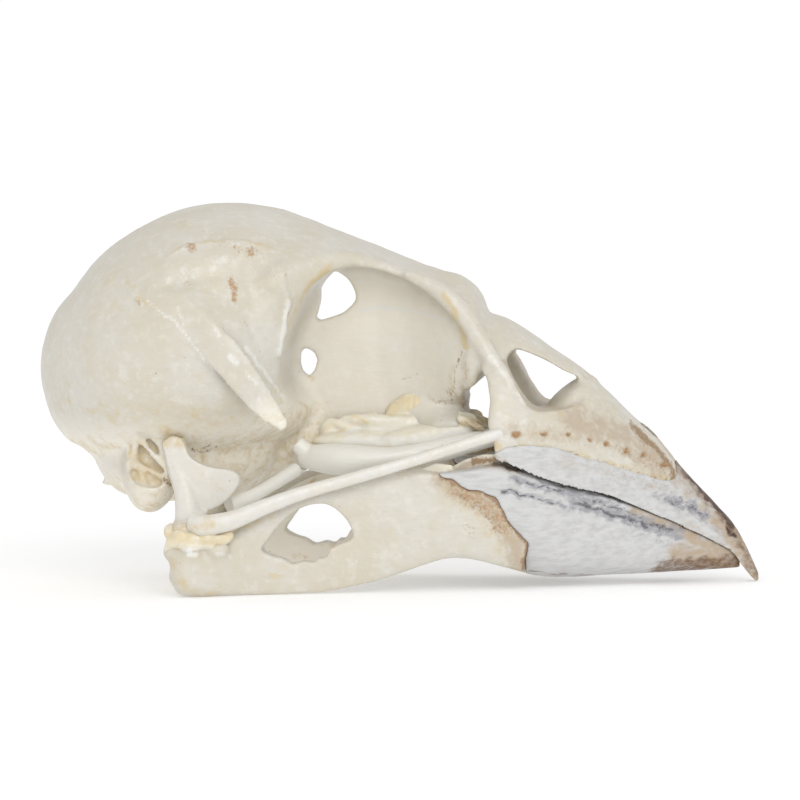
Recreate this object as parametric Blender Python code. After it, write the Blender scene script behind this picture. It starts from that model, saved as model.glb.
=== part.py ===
# Greenfinch skull, life size, lying on its lower jaw with the bill along +X.
# All sizes are in millimetres, and each finished node is scaled to metres.
# X runs to the bill's tip, Y to the bird's left, Z up, with the floor at Z = 0.
import math

import bmesh
import bpy
from mathutils import Matrix, Vector

METRES_PER_MM = 0.001

# Overall sizes of the skull.
SKULL_LENGTH = 31.5
BRAINCASE_HALF_WIDTH = 7.35
BILL_BASE_HALF_WIDTH = 4.75
HINGE_X = 4.0
JOINT_GAP = 0.2
THIN_BONE = 0.6

OCCIPUT_X = -SKULL_LENGTH / 2
BILL_TIP_X = SKULL_LENGTH / 2

# Braincase sections: x, crown, widest level, underside, half width as a share of the widest.
BRAINCASE = (
    (OCCIPUT_X, 9.95, 9.6, 9.2, 0.07),
    (-15.55, 10.95, 9.7, 8.4, 0.24),
    (-15.0, 12.15, 9.9, 7.2, 0.43),
    (-14.2, 13.2, 10.1, 6.3, 0.6),
    (-13.1, 14.55, 10.3, 5.6, 0.77),
    (-11.7, 15.6, 10.5, 5.2, 0.9),
    (-10.3, 16.3, 10.7, 5.2, 0.97),
    (-8.9, 16.75, 10.9, 5.4, 1.0),
    (-7.6, 16.87, 11.0, 5.6, 0.99),
    (-6.4, 16.8, 11.1, 5.9, 0.94),
    (-5.2, 16.6, 11.4, 6.3, 0.83),
    (-4.3, 16.3, 11.6, 6.8, 0.67),
    (-3.7, 15.9, 11.7, 7.8, 0.42),
)

# Base of the skull between the ears: x, top, widest level, underside, half width.
SKULL_BASE = (
    (-13.4, 8.0, 6.6, 5.3, 1.6),
    (-12.4, 8.0, 5.8, 4.2, 3.4),
    (-11.0, 8.0, 5.6, 3.8, 4.4),
    (-9.5, 8.0, 5.8, 3.75, 4.2),
    (-8.0, 8.0, 5.9, 3.75, 3.8),
    (-6.9, 8.0, 6.0, 3.95, 3.3),
    (-6.0, 8.0, 6.2, 4.6, 2.6),
    (-5.3, 8.0, 6.6, 5.4, 1.8),
)

# Frontal bone: x, crown, drop from crown to rim, half width, depth below the rim.
FRONTAL = (
    (-6.2, 16.6, 3.0, 6.0, 4.0),
    (-5.0, 16.45, 2.6, 5.9, 4.0),
    (-4.0, 16.2, 1.9, 5.3, 3.8),
    (-3.0, 15.8, 1.15, 4.6, 3.6),
    (-2.0, 15.38, 0.65, 3.9, 3.3),
    (-1.0, 14.98, 0.42, 3.3, 2.9),
    (0.0, 14.55, 0.36, 2.9, 2.6),
    (1.0, 14.15, 0.36, 2.75, 2.4),
    (2.0, 13.7, 0.45, 2.85, 2.1),
    (3.0, 13.0, 0.65, 3.15, 1.8),
    (HINGE_X - JOINT_GAP / 2, 12.05, 0.85, 3.3, 1.4),
)

# Upper bill: x, culmen, cutting edge, half width as a share of the base.
UPPER_BILL = (
    (HINGE_X, 11.95, 5.9, 0.97),
    (4.8, 11.7, 5.6, 1.0),
    (5.9, 11.05, 5.1, 0.97),
    (6.8, 10.38, 4.7, 0.92),
    (8.1, 9.5, 4.3, 0.82),
    (9.4, 8.3, 3.95, 0.69),
    (10.4, 7.3, 3.55, 0.58),
    (11.3, 6.55, 3.1, 0.49),
    (12.6, 5.05, 2.5, 0.35),
    (13.9, 3.55, 1.8, 0.215),
    (14.7, 2.55, 1.4, 0.135),
    (15.2, 1.6, 0.8, 0.085),
    (15.6, 0.6, 0.15, 0.05),
    (BILL_TIP_X, 0.3, 0.0, 0.02),
)

PALATE_RISE = 0.9

# Thin wall between the eyes, as side outline (x, z), and the rod along its foot (x, y, z) with radii.
SEPTUM_OUTLINE = (
    (-5.0, 6.2), (3.1, 6.5), (3.1, 8.95), (3.6, 9.3), (3.7, 12.0),
    (2.2, 13.2), (0.2, 14.1), (-2.3, 15.1), (-5.0, 15.6),
)
ROSTRUM_LINE = ((-6.4, 0, 5.4), (-4.4, 0, 6.1), (-2.0, 0, 6.35), (1.0, 0, 6.5), (3.3, 0, 6.7))
ROSTRUM_RADII = (0.95, 0.75, 0.6, 0.55, 0.4)

# Plate and shelf in front of each eye: distance from the middle, x, z, half length, half height.
EYE_FRONT_PLATE = (
    (0.0, 2.0, 10.7, 1.7, 2.3),
    (0.8, 2.3, 10.7, 1.4, 2.2),
    (1.6, 2.6, 10.7, 1.08, 2.1),
    (2.4, 2.9, 10.6, 0.78, 1.9),
    (3.0, 3.15, 10.5, 0.52, 1.6),
    (3.4, 3.3, 10.4, 0.3, 1.1),
)
EYE_FRONT_SHELF = (
    (0.0, 1.9, 7.7, 1.6, 1.0),
    (0.8, 2.1, 7.55, 1.35, 0.7),
    (1.6, 2.3, 7.45, 1.0, 0.45),
    (2.3, 2.45, 7.4, 0.6, 0.25),
)

# Blade behind each eye, running down and forward to a free end.
BLADE_LINE = (
    (-10.2, -6.35, 13.1), (-9.0, -7.1, 12.2), (-7.55, -7.4, 11.0), (-6.25, -7.15, 9.55),
    (-5.1, -6.7, 8.2), (-4.25, -6.3, 7.35),
)
BLADE_RADII = (0.5, 0.7, 0.72, 0.66, 0.52, 0.27)
BLADE_FLATNESS = 0.45

# Rounded forms and hollows of the cranium, each as centre and radii.
EAR_WALL = ((-10.4, -3.75, 5.4), (1.6, 1.3, 1.95))
EAR_RIM = ((-11.25, -4.5, 5.5), (0.45, 1.3, 1.9))
EAR_HOLLOW = ((-10.1, -6.2, 5.6), (1.0, 1.5, 1.5))
CONDYLE = ((-12.9, 0.0, 4.9), (0.5, 0.55, 0.5))
NAPE_SWELLING = ((-13.6, 0.0, 9.6), (2.15, 3.0, 3.6))
TEMPLE_HOLLOW = ((-7.2, -8.85, 12.8), (2.9, 2.15, 2.6))
FORAMEN = ((-13.9, 0.0, 5.4), (1.5, 1.3, 1.1))

# Eye hollows: side outline (x, z), the point it shrinks to, and its scale by distance from the middle.
ORBIT_OUTLINE = (
    (-4.36, 11.3), (-4.05, 12.0), (-3.5, 13.15), (-2.65, 13.9), (-1.8, 14.15), (-0.85, 14.05),
    (0.45, 13.6), (1.5, 13.05), (2.35, 12.4), (3.0, 11.6), (3.3, 10.6), (3.4, 9.6), (3.2, 8.6),
    (2.5, 7.75), (1.3, 7.25), (-0.2, 7.1), (-1.7, 7.1), (-3.1, 7.3), (-4.1, 8.0), (-4.65, 9.1), (-4.65, 10.3),
)
ORBIT_CENTRE = (-0.6, 10.8)
ORBIT_SPREAD = ((0.32, 0.86), (0.55, 0.93), (1.0, 0.98), (1.8, 1.0), (8.5, 1.0))

# Openings seen right through the skull, as side outlines (x, z).
SEPTUM_WINDOW = (
    (-2.68, 13.85), (-3.35, 13.25), (-3.3, 12.55), (-3.62, 11.6), (-2.3, 11.95), (-1.75, 12.6), (-2.1, 13.4),
)
NERVE_HOLE = (
    (-4.02, 10.48), (-4.22, 10.3), (-4.33, 10.03), (-4.18, 9.42), (-3.9, 9.18), (-3.64, 9.42),
    (-3.48, 9.9), (-3.6, 10.25),
)
NOSTRIL = (
    (4.98, 10.0), (5.2, 10.3), (5.55, 10.42), (6.6, 9.97), (7.5, 9.42), (8.5, 8.9), (8.42, 8.35),
    (8.15, 8.0), (7.1, 7.83), (6.22, 7.92), (5.55, 8.9),
)
NOSE_CHAMBER = ((5.0, 0.0, 8.9), (1.9, 2.7, 1.5))
BILL_REAR = ((3.0, 13.0), (HINGE_X + JOINT_GAP / 2, 12.5), (4.15, 11.0), (4.75, 8.3), (4.6, 5.0), (3.0, 5.0))
JAW_WINDOW = (
    (-5.55, 2.0), (-4.75, 3.05), (-3.9, 3.7), (-2.8, 3.9), (-1.9, 3.25), (-1.65, 2.5),
    (-2.6, 1.9), (-3.1, 1.45), (-4.35, 1.4), (-5.0, 1.65),
)

# Right-hand small bones.
QUADRATE_OUTLINE = (
    (-9.7, 6.4), (-9.35, 6.5), (-8.95, 6.4), (-8.6, 5.9), (-7.5, 5.5), (-6.3, 5.25), (-6.05, 4.9),
    (-6.4, 4.5), (-7.3, 3.95), (-8.0, 3.7), (-8.25, 3.0), (-9.3, 3.0), (-9.1, 4.2), (-9.45, 5.5),
)
QUADRATE_Y = -5.6
QUADRATE_HALF_THICKNESS = 0.42
QUADRATE_BEND_X = -7.8
QUADRATE_BEND = 0.45
QUADRATE_FOOT = ((-8.85, -5.75, 3.0), (0.7, 1.15, 0.5))
QUADRATE_HEAD = ((-9.3, -5.6, 6.15), (0.5, 0.5, 0.4))
JUGAL_LINE = (
    (-8.1, -7.15, 3.25), (-6.7, -6.85, 3.35), (-5.4, -6.5, 3.9), (-3.7, -6.15, 4.5), (-1.5, -5.8, 5.1),
    (0.7, -5.45, 5.7), (2.8, -5.1, 6.3), (4.45, -4.75, 6.8),
)
JUGAL_RADII = (0.36, 0.38, 0.34, 0.3, 0.27, 0.25, 0.25, 0.25)
JUGAL_FLATNESS = 0.75
# Palatine: x, distance from the middle, z, half width, half height.
PALATINE = (
    (-4.1, 1.25, 5.6, 0.3, 0.3),
    (-3.3, 1.6, 5.65, 0.45, 0.45),
    (-2.4, 1.95, 5.65, 0.75, 0.55),
    (-1.2, 2.1, 5.7, 0.85, 0.5),
    (0.0, 2.15, 5.85, 0.7, 0.35),
    (1.4, 2.1, 6.0, 0.4, 0.3),
    (3.0, 2.05, 6.3, 0.35, 0.28),
    (4.4, 2.0, 6.6, 0.35, 0.28),
)
PTERYGOID_LINE = ((-7.1, -4.3, 3.85), (-6.1, -3.5, 4.2), (-5.1, -2.5, 4.75), (-4.35, -1.6, 5.2))
PTERYGOID_RADII = (0.4, 0.3, 0.3, 0.32)

# Lower bill: x, cutting edge, underside, half width.
LOWER_BILL = (
    (1.0, 5.35, 1.1, 4.85),
    (2.0, 5.35, 1.4, 4.8),
    (3.3, 5.3, 1.4, 4.68),
    (4.6, 5.15, 1.1, 4.5),
    (5.8, 4.9, 0.72, 4.2),
    (7.3, 4.4, 0.42, 3.72),
    (9.0, 3.85, 0.4, 3.05),
    (10.6, 3.32, 0.42, 2.35),
    (12.3, 2.54, 0.48, 1.5),
    (13.8, 1.8, 0.55, 0.8),
    (14.6, 1.35, 0.6, 0.4),
    (14.95, 1.1, 0.65, 0.2),
)
LOWER_BILL_WIDEST = 0.82
HORN_THICKNESS = 0.5
JAW_TROUGH_HALF_WIDTH = 3.1
JAW_TROUGH_END = 8.3
TROUGH_OVERLAP = 0.05
CHIN_BONE_END = 9.0
CHIN_CORE_END = 11.9
HORN_HOLLOW_END = 12.8

# Side borders (x, z) between bone and horn, each closed by far corners beyond the horn.
UPPER_HORN_BORDER = (
    (4.4, 5.85), (4.95, 6.22), (5.9, 6.38), (7.35, 6.22), (8.1, 5.9), (9.4, 5.45), (10.8, 4.95),
    (11.9, 4.6), (12.45, 4.9), (12.05, 5.8), (11.4, 6.55), (10.65, 7.25), (10.3, 7.7),
)
UPPER_HORN_CORNERS = ((17.0, 7.7), (17.0, -1.0), (4.2, -1.0))
LOWER_HORN_BORDER = (
    (2.1, 5.8), (2.35, 5.1), (3.5, 4.55), (4.6, 4.1), (5.1, 3.2), (5.75, 2.35), (6.0, 2.05), (5.8, 1.2),
    (5.7, -0.5),
)
LOWER_HORN_CORNERS = ((17.0, -0.5), (17.0, 5.85))

# Each half of the lower jaw behind the bill: x, y, half thickness, top, underside.
JAW_RAMUS = (
    (-9.6, 5.75, 0.6, 2.1, 1.3),
    (-9.3, 5.75, 1.1, 2.25, 0.45),
    (-8.6, 5.75, 1.35, 2.3, 0.0),
    (-7.7, 5.65, 1.1, 2.4, 0.0),
    (-6.7, 5.5, 0.75, 2.85, 0.0),
    (-5.7, 5.35, 0.5, 3.6, 0.0),
    (-4.6, 5.2, 0.42, 4.25, 0.0),
    (-3.0, 4.95, 0.42, 4.75, 0.05),
    (-1.3, 4.7, 0.42, 5.1, 0.35),
    (0.1, 4.55, 0.45, 5.3, 0.72),
    (1.4, 4.4, 0.48, 5.4, 1.15),
    (2.4, 4.2, 0.55, 5.25, 1.42),
    (3.4, 4.02, 0.63, 5.05, 1.4),
    (4.6, 3.85, 0.65, 4.9, 1.1),
    (5.9, 3.65, 0.65, 4.6, 0.72),
)
INNER_PROCESS_LINE = ((-8.9, -5.2, 1.6), (-8.7, -4.0, 1.7), (-8.6, -3.4, 1.8))
INNER_PROCESS_RADII = (0.65, 0.45, 0.25)

# Colours and roughness of bone and horn.
BONE = (0.80, 0.74, 0.62)
DENSE_BONE = (0.84, 0.80, 0.71)
HORN = (0.80, 0.78, 0.74)
BONE_ROUGHNESS = 0.5
HORN_ROUGHNESS = 0.45

# Reach of the flat cutters to each side, and how many corners round sections have.
CUTTER_REACH = 7.0
COARSE_SIDES = 12
SMALL_SIDES = 16
MIDDLE_SIDES = 24
LARGE_SIDES = 32


def clear_scene():
    for thing in list(bpy.data.objects):
        bpy.data.objects.remove(thing, do_unlink=True)


def blend_rows(rows, steps):
    # Catmull-Rom rows between the given ones, so that few stations make a smooth form.
    result = []
    last = len(rows) - 1
    for place in range(last):
        before = rows[max(place - 1, 0)]
        start = rows[place]
        end = rows[place + 1]
        after = rows[min(place + 2, last)]
        for step in range(steps):
            t = step / steps
            row = []
            for a, b, c, d in zip(before, start, end, after):
                bend = (2 * a - 5 * b + 4 * c - d) * t * t + (3 * b - a - 3 * c + d) * t ** 3
                row.append(b + 0.5 * ((c - a) * t + bend))
            result.append(tuple(row))
    result.append(tuple(rows[last]))
    return result


def power_curve(value, power):
    return math.copysign(abs(value) ** power, value)


def section_yz(x, y, middle, top, bottom, half_width, sides, squareness=1.0):
    # One closed ring across X, with its own height above and below its widest level.
    points = []
    for index in range(sides):
        angle = 2 * math.pi * index / sides
        across = power_curve(math.cos(angle), squareness)
        upward = power_curve(math.sin(angle), squareness)
        height = top - middle if upward > 0 else middle - bottom
        points.append(Vector((x, y + half_width * across, middle + height * upward)))
    return points


def section_xz(aside, x, z, half_length, half_height, sides):
    # One closed ring across Y, on the bird's right.
    points = []
    for index in range(sides):
        angle = 2 * math.pi * index / sides
        points.append(Vector((x + half_length * math.cos(angle), -aside, z + half_height * math.sin(angle))))
    return points


def new_object(name, bm):
    bmesh.ops.recalc_face_normals(bm, faces=bm.faces)
    mesh = bpy.data.meshes.new(name)
    bm.to_mesh(mesh)
    bm.free()
    thing = bpy.data.objects.new(name, mesh)
    bpy.context.collection.objects.link(thing)
    return thing


def loft(name, rings):
    # A closed skin: one ring extruded from station to station, with a flat cap at each end.
    bm = bmesh.new()
    sides = len(rings[0])
    row = [bm.verts.new(point) for point in rings[0]]
    edges = [bm.edges.new((row[index - 1], row[index])) for index in range(sides)]
    bmesh.ops.contextual_create(bm, geom=edges)
    for points in rings[1:]:
        grown = bmesh.ops.extrude_edge_only(bm, edges=edges)["geom"]
        edges = [item for item in grown if isinstance(item, bmesh.types.BMEdge)]
        fresh = {item for item in grown if isinstance(item, bmesh.types.BMVert)}
        following = []
        for index, vert in enumerate(row):
            partner = next(e.other_vert(vert) for e in vert.link_edges if e.other_vert(vert) in fresh)
            partner.co = points[index]
            following.append(partner)
        row = following
    bmesh.ops.contextual_create(bm, geom=edges)
    bmesh.ops.triangulate(bm, faces=[face for face in bm.faces if len(face.verts) > 4])
    return new_object(name, bm)


def rod(name, points, radii, sides=COARSE_SIDES, flatness=1.0):
    # A tapered rod through points; flatness scales its thickness along Y.
    rings = []
    last = len(points) - 1
    for index, point in enumerate(points):
        ahead = Vector(points[min(index + 1, last)]) - Vector(points[max(index - 1, 0)])
        ahead.normalize()
        side = Vector((0, 0, 1)).cross(ahead)
        if side.length < 0.1:
            side = Vector((0, 1, 0))
        side.normalize()
        upward = ahead.cross(side)
        ring = []
        for step in range(sides):
            angle = 2 * math.pi * step / sides
            spread = side * math.cos(angle) * flatness + upward * math.sin(angle)
            ring.append(Vector(point) + spread * radii[index])
        rings.append(ring)
    return loft(name, rings)


def slab(name, outline, y, half_thickness):
    # A flat plate across Y with the given side outline of (x, z) points.
    bm = bmesh.new()
    verts = [bm.verts.new((x, y - half_thickness, z)) for x, z in outline]
    face = bm.faces.new(verts)
    grown = bmesh.ops.extrude_face_region(bm, geom=[face])["geom"]
    moved = [item for item in grown if isinstance(item, bmesh.types.BMVert)]
    bmesh.ops.translate(bm, verts=moved, vec=(0, 2 * half_thickness, 0))
    bmesh.ops.triangulate(bm, faces=[item for item in bm.faces if len(item.verts) > 4])
    return new_object(name, bm)


def ellipsoid(name, form, turn_y=0.0, segments=MIDDLE_SIDES):
    centre, radii = form
    rings = segments // 2 + 2
    bm = bmesh.new()
    bmesh.ops.create_uvsphere(bm, u_segments=segments, v_segments=rings, radius=1.0)
    spread = Matrix.Diagonal(Vector((radii[0], radii[1], radii[2], 1.0)))
    turn = Matrix.Rotation(math.radians(turn_y), 4, "Y")
    bmesh.ops.transform(bm, matrix=Matrix.Translation(Vector(centre)) @ turn @ spread, verts=bm.verts)
    return new_object(name, bm)


def beside(line, distance):
    # The same line of (x, z) points moved to its left.
    moved = []
    last = len(line) - 1
    for index, point in enumerate(line):
        ahead = Vector(line[min(index + 1, last)]) - Vector(line[max(index - 1, 0)])
        ahead.normalize()
        moved.append((point[0] - ahead.y * distance, point[1] + ahead.x * distance))
    return tuple(moved)


def mirrored(thing):
    # The same piece on the bird's other side.
    bm = bmesh.new()
    bm.from_mesh(thing.data)
    bmesh.ops.scale(bm, vec=(1, -1, 1), verts=bm.verts)
    bmesh.ops.reverse_faces(bm, faces=bm.faces)
    return new_object(thing.name + "_other", bm)


def both_sides(pieces):
    return list(pieces) + [mirrored(piece) for piece in pieces]


def combine(target, pieces, operation):
    # One Boolean with every piece in a collection, applied, with the pieces removed.
    group = bpy.data.collections.new("pieces")
    for piece in pieces:
        group.objects.link(piece)
    step = target.modifiers.new("combine", "BOOLEAN")
    step.operation = operation
    step.operand_type = "COLLECTION"
    step.collection = group
    step.solver = "EXACT"
    view = bpy.context.evaluated_depsgraph_get()
    result = bpy.data.meshes.new_from_object(target.evaluated_get(view))
    target.modifiers.clear()
    target.data = result
    for piece in pieces:
        bpy.data.objects.remove(piece, do_unlink=True)
    bpy.data.collections.remove(group)


def fuse(target, pieces):
    combine(target, pieces, "UNION")


def carve(target, pieces):
    combine(target, pieces, "DIFFERENCE")


def overlap_of(target, piece):
    combine(target, [piece], "INTERSECT")


def keep_largest_surface(thing):
    bm = bmesh.new()
    bm.from_mesh(thing.data)
    left = set(bm.faces)
    shells = []
    while left:
        shell = set()
        front = [left.pop()]
        while front:
            face = front.pop()
            shell.add(face)
            for edge in face.edges:
                for neighbour in edge.link_faces:
                    if neighbour in left:
                        left.remove(neighbour)
                        front.append(neighbour)
        shells.append(shell)
    shells.sort(key=len)
    for shell in shells[:-1]:
        bmesh.ops.delete(bm, geom=list(shell), context="FACES")
    loose = [vert for vert in bm.verts if not vert.link_faces]
    bmesh.ops.delete(bm, geom=loose, context="VERTS")
    bm.to_mesh(thing.data)
    bm.free()


def finish(thing, name, colour, roughness):
    # Name, clean, colour and scale one node.
    keep_largest_surface(thing)
    thing.name = name
    thing.data.name = name
    thing.data.transform(Matrix.Scale(METRES_PER_MM, 4))
    material = bpy.data.materials.new(name)
    material.use_nodes = True
    shader = material.node_tree.nodes["Principled BSDF"]
    shader.inputs["Base Color"].default_value = (*colour, 1.0)
    shader.inputs["Roughness"].default_value = roughness
    shader.inputs["Metallic"].default_value = 0.0
    thing.data.materials.clear()
    thing.data.materials.append(material)


def make_cranium():
    shell_rings = []
    for x, crown, middle, under, share in blend_rows(BRAINCASE, 2):
        half = BRAINCASE_HALF_WIDTH * share
        shell_rings.append(section_yz(x, 0.0, middle, crown, under, half, LARGE_SIDES + 4, 0.95))
    cranium = loft("cranium", shell_rings)

    base_rings = []
    for x, top, middle, under, half in SKULL_BASE:
        base_rings.append(section_yz(x, 0.0, middle, top, under, half, MIDDLE_SIDES))
    base = loft("skull_base", base_rings)

    # The frontal bone is a lens with thin rims, hollowed below by the orbits.
    roof_rings = []
    for x, crown, drop, half, depth in blend_rows(FRONTAL, 2):
        ring = []
        for index in range(MIDDLE_SIDES + 4):
            angle = 2 * math.pi * index / (MIDDLE_SIDES + 4)
            across = math.cos(angle)
            fall = drop * across * across if math.sin(angle) >= 0 else drop - depth * math.sin(angle)
            ring.append(Vector((x, half * across, crown - fall)))
        roof_rings.append(ring)
    roof = loft("frontal", roof_rings)
    nape = ellipsoid("nape_swelling", NAPE_SWELLING)
    fuse(cranium, [base, roof, nape])
    orbit_rings = []
    for aside, scale in ORBIT_SPREAD:
        ring = []
        for x, z in blend_rows(ORBIT_OUTLINE + ORBIT_OUTLINE[:1], 2)[:-1]:
            from_x = ORBIT_CENTRE[0] + (x - ORBIT_CENTRE[0]) * scale
            from_z = ORBIT_CENTRE[1] + (z - ORBIT_CENTRE[1]) * scale
            ring.append(Vector((from_x, -aside, from_z)))
        orbit_rings.append(ring)
    carve(cranium, both_sides([loft("orbit", orbit_rings)]))

    septum = slab("septum", SEPTUM_OUTLINE, 0.0, THIN_BONE / 2)
    rostrum = rod("rostrum", ROSTRUM_LINE, ROSTRUM_RADII, SMALL_SIDES)
    condyle = ellipsoid("condyle", CONDYLE, 0.0, COARSE_SIDES)
    plate = loft("eye_front_plate", [section_xz(*row, SMALL_SIDES) for row in EYE_FRONT_PLATE])
    shelf = loft("eye_front_shelf", [section_xz(*row, SMALL_SIDES) for row in EYE_FRONT_SHELF])
    blade = rod("temple_blade", BLADE_LINE, BLADE_RADII, COARSE_SIDES - 2, BLADE_FLATNESS)
    ear_wall = ellipsoid("ear_wall", EAR_WALL, 10.0)
    ear_rim = ellipsoid("ear_rim", EAR_RIM, -12.0)
    fuse(cranium, [septum, rostrum, condyle] + both_sides((plate, shelf, blade, ear_wall, ear_rim)))

    window = slab("septum_window", SEPTUM_WINDOW, 0.0, 2 * THIN_BONE)
    nerve_hole = slab("nerve_hole", NERVE_HOLE, 0.0, 2 * THIN_BONE)
    fossa = ellipsoid("temple_hollow", TEMPLE_HOLLOW, 15.0)
    ear_hollow = ellipsoid("ear_hollow", EAR_HOLLOW)
    foramen = ellipsoid("foramen", FORAMEN, -40.0, SMALL_SIDES + 2)
    carve(cranium, [window, nerve_hole, foramen] + both_sides((fossa, ear_hollow)))
    return cranium


def make_upper_jaw():
    rings = []
    for x, culmen, edge, share in blend_rows(UPPER_BILL, 2):
        half = BILL_BASE_HALF_WIDTH * share
        palate = edge + PALATE_RISE * share
        rings.append(section_yz(x, 0.0, edge, culmen, palate, half, LARGE_SIDES, 0.95))
    jaw = loft("upper_jaw", rings)
    rear = slab("rear_trim", BILL_REAR, 0.0, CUTTER_REACH)
    nostrils = slab("nostrils", NOSTRIL, 0.0, CUTTER_REACH)
    carve(jaw, [rear, nostrils, ellipsoid("nose_chamber", NOSE_CHAMBER)])
    return jaw


def horn_region(border, corners):
    # A slab over the whole side view on the horn's side of its border.
    return slab("horn_region", tuple(border) + corners, 0.0, CUTTER_REACH)


def make_upper_bill():
    jaw = make_upper_jaw()
    carve(jaw, [horn_region(beside(UPPER_HORN_BORDER, JOINT_GAP), UPPER_HORN_CORNERS)])
    return jaw


def make_upper_sheath():
    sheath = make_upper_jaw()
    overlap_of(sheath, horn_region(UPPER_HORN_BORDER, UPPER_HORN_CORNERS))
    return sheath


def make_lower_bill(inset, x_end, trough_half):
    rings = []
    for x, edge, under, half in blend_rows(LOWER_BILL, 2):
        if x > x_end:
            continue
        top = edge - inset
        bottom = under + inset
        middle = bottom + LOWER_BILL_WIDEST * (top - bottom)
        rings.append(section_yz(x, 0.0, middle, top, bottom, half - inset, MIDDLE_SIDES + 4, 0.75))
    bill = loft("lower_bill", rings)
    # The trough between the jaw's halves ends in a rounded point.
    tip = JAW_TROUGH_END - JAW_TROUGH_HALF_WIDTH + trough_half
    steps = 9
    trough_rings = []
    for step in range(steps + 1):
        share = step / steps
        half = trough_half * math.sqrt(max(1.0 - share ** 3, 0.002))
        trough_rings.append(section_yz(tip * share, 0.0, 3.0, 9.0, -3.0, half, SMALL_SIDES + 4, 0.5))
    carve(bill, [loft("trough", trough_rings)])
    return bill


def make_mandible():
    ramus_rings = []
    for x, y, half, top, under in blend_rows(JAW_RAMUS, 2):
        middle = (top + under) / 2
        ramus_rings.append(section_yz(x, -y, middle, top, max(under, 0.0), half, SMALL_SIDES + 4, 0.75))
    ramus = loft("ramus", ramus_rings)
    fuse(ramus, [rod("inner_process", INNER_PROCESS_LINE, INNER_PROCESS_RADII)])
    carve(ramus, [slab("jaw_window", JAW_WINDOW, -JAW_RAMUS[6][1], 2.0)])
    jaw = make_lower_bill(0.0, CHIN_BONE_END, JAW_TROUGH_HALF_WIDTH)
    fuse(jaw, [ramus, mirrored(ramus)])
    carve(jaw, [horn_region(LOWER_HORN_BORDER, LOWER_HORN_CORNERS)])
    # A core inside the horn joins the two halves at the chin.
    core_inset = HORN_THICKNESS + JOINT_GAP
    fuse(jaw, [make_lower_bill(core_inset, CHIN_CORE_END, JAW_TROUGH_HALF_WIDTH + TROUGH_OVERLAP)])
    return jaw


def make_lower_sheath():
    sheath = make_lower_bill(0.0, BILL_TIP_X, JAW_TROUGH_HALF_WIDTH)
    overlap_of(sheath, horn_region(beside(LOWER_HORN_BORDER, JOINT_GAP), LOWER_HORN_CORNERS))
    carve(sheath, [make_lower_bill(HORN_THICKNESS, HORN_HOLLOW_END, JAW_TROUGH_HALF_WIDTH - JOINT_GAP)])
    return sheath


def make_quadrate():
    body = slab("quadrate", QUADRATE_OUTLINE, QUADRATE_Y, QUADRATE_HALF_THICKNESS)
    # The eye process bends inwards.
    for vert in body.data.vertices:
        vert.co.y += QUADRATE_BEND * max(vert.co.x - QUADRATE_BEND_X, 0.0)
    foot = ellipsoid("foot", QUADRATE_FOOT, 0.0, SMALL_SIDES)
    head = ellipsoid("head", QUADRATE_HEAD, 0.0, SMALL_SIDES)
    fuse(body, [foot, head])
    return body


def make_jugal():
    return rod("jugal", JUGAL_LINE, JUGAL_RADII, COARSE_SIDES, JUGAL_FLATNESS)


def make_palatine():
    rings = [section_yz(x, -y, z, z + up, z - up, half, SMALL_SIDES) for x, y, z, half, up in PALATINE]
    return loft("palatine", rings)


def make_pterygoid():
    return rod("pterygoid", PTERYGOID_LINE, PTERYGOID_RADII)


def build():
    clear_scene()
    finish(make_cranium(), "cranium", BONE, BONE_ROUGHNESS)
    finish(make_upper_bill(), "upper_bill", BONE, BONE_ROUGHNESS)
    finish(make_upper_sheath(), "upper_sheath", HORN, HORN_ROUGHNESS)
    finish(make_mandible(), "mandible", BONE, BONE_ROUGHNESS)
    finish(make_lower_sheath(), "lower_sheath", HORN, HORN_ROUGHNESS)
    for part_name, maker in (("quadrate", make_quadrate), ("jugal_bar", make_jugal),
                             ("palatine", make_palatine), ("pterygoid", make_pterygoid)):
        right = maker()
        left = mirrored(right)
        finish(right, part_name + "_right", DENSE_BONE, BONE_ROUGHNESS)
        finish(left, part_name + "_left", DENSE_BONE, BONE_ROUGHNESS)


build()
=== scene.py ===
import math

import bmesh
import bpy
import numpy as np
from mathutils import Matrix, Vector, noise


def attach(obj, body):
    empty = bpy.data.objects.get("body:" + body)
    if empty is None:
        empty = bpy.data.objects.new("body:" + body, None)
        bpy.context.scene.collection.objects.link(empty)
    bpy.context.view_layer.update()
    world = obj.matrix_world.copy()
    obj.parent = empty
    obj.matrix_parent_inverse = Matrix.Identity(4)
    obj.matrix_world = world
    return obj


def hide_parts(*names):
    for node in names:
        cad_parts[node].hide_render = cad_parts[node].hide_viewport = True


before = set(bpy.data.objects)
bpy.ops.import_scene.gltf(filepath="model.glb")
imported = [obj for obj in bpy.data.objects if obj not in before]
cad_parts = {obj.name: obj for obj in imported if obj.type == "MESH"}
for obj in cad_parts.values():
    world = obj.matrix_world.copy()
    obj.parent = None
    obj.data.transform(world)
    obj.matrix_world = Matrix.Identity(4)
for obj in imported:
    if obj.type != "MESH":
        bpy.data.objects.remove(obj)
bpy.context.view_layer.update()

print("frame loaded")

# Everything is modelled in millimetres with the bill along +X and the bird's right side at -Y,
# and shrunk to metres when a piece is finished.
millimetre = 0.001
# half thickness of a cutter that goes through the whole skull
cutHalf = 7.0


# shared shaping helpers

def rowsAt(rows, share):
    # smooth values at shares (0 to 1) of the way along a table
    table = np.array(rows, dtype=float)
    last = len(table) - 1
    place = np.clip(np.asarray(share, dtype=float), 0.0, 1.0) * last
    start = np.minimum(place.astype(int), last - 1)
    t = (place - start)[:, None]
    a = table[np.maximum(start - 1, 0)]
    b = table[start]
    c = table[start + 1]
    d = table[np.minimum(start + 2, last)]
    return b + 0.5 * ((c - a) * t + (2 * a - 5 * b + 4 * c - d) * t ** 2 + (3 * b - a - 3 * c + d) * t ** 3)


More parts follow.
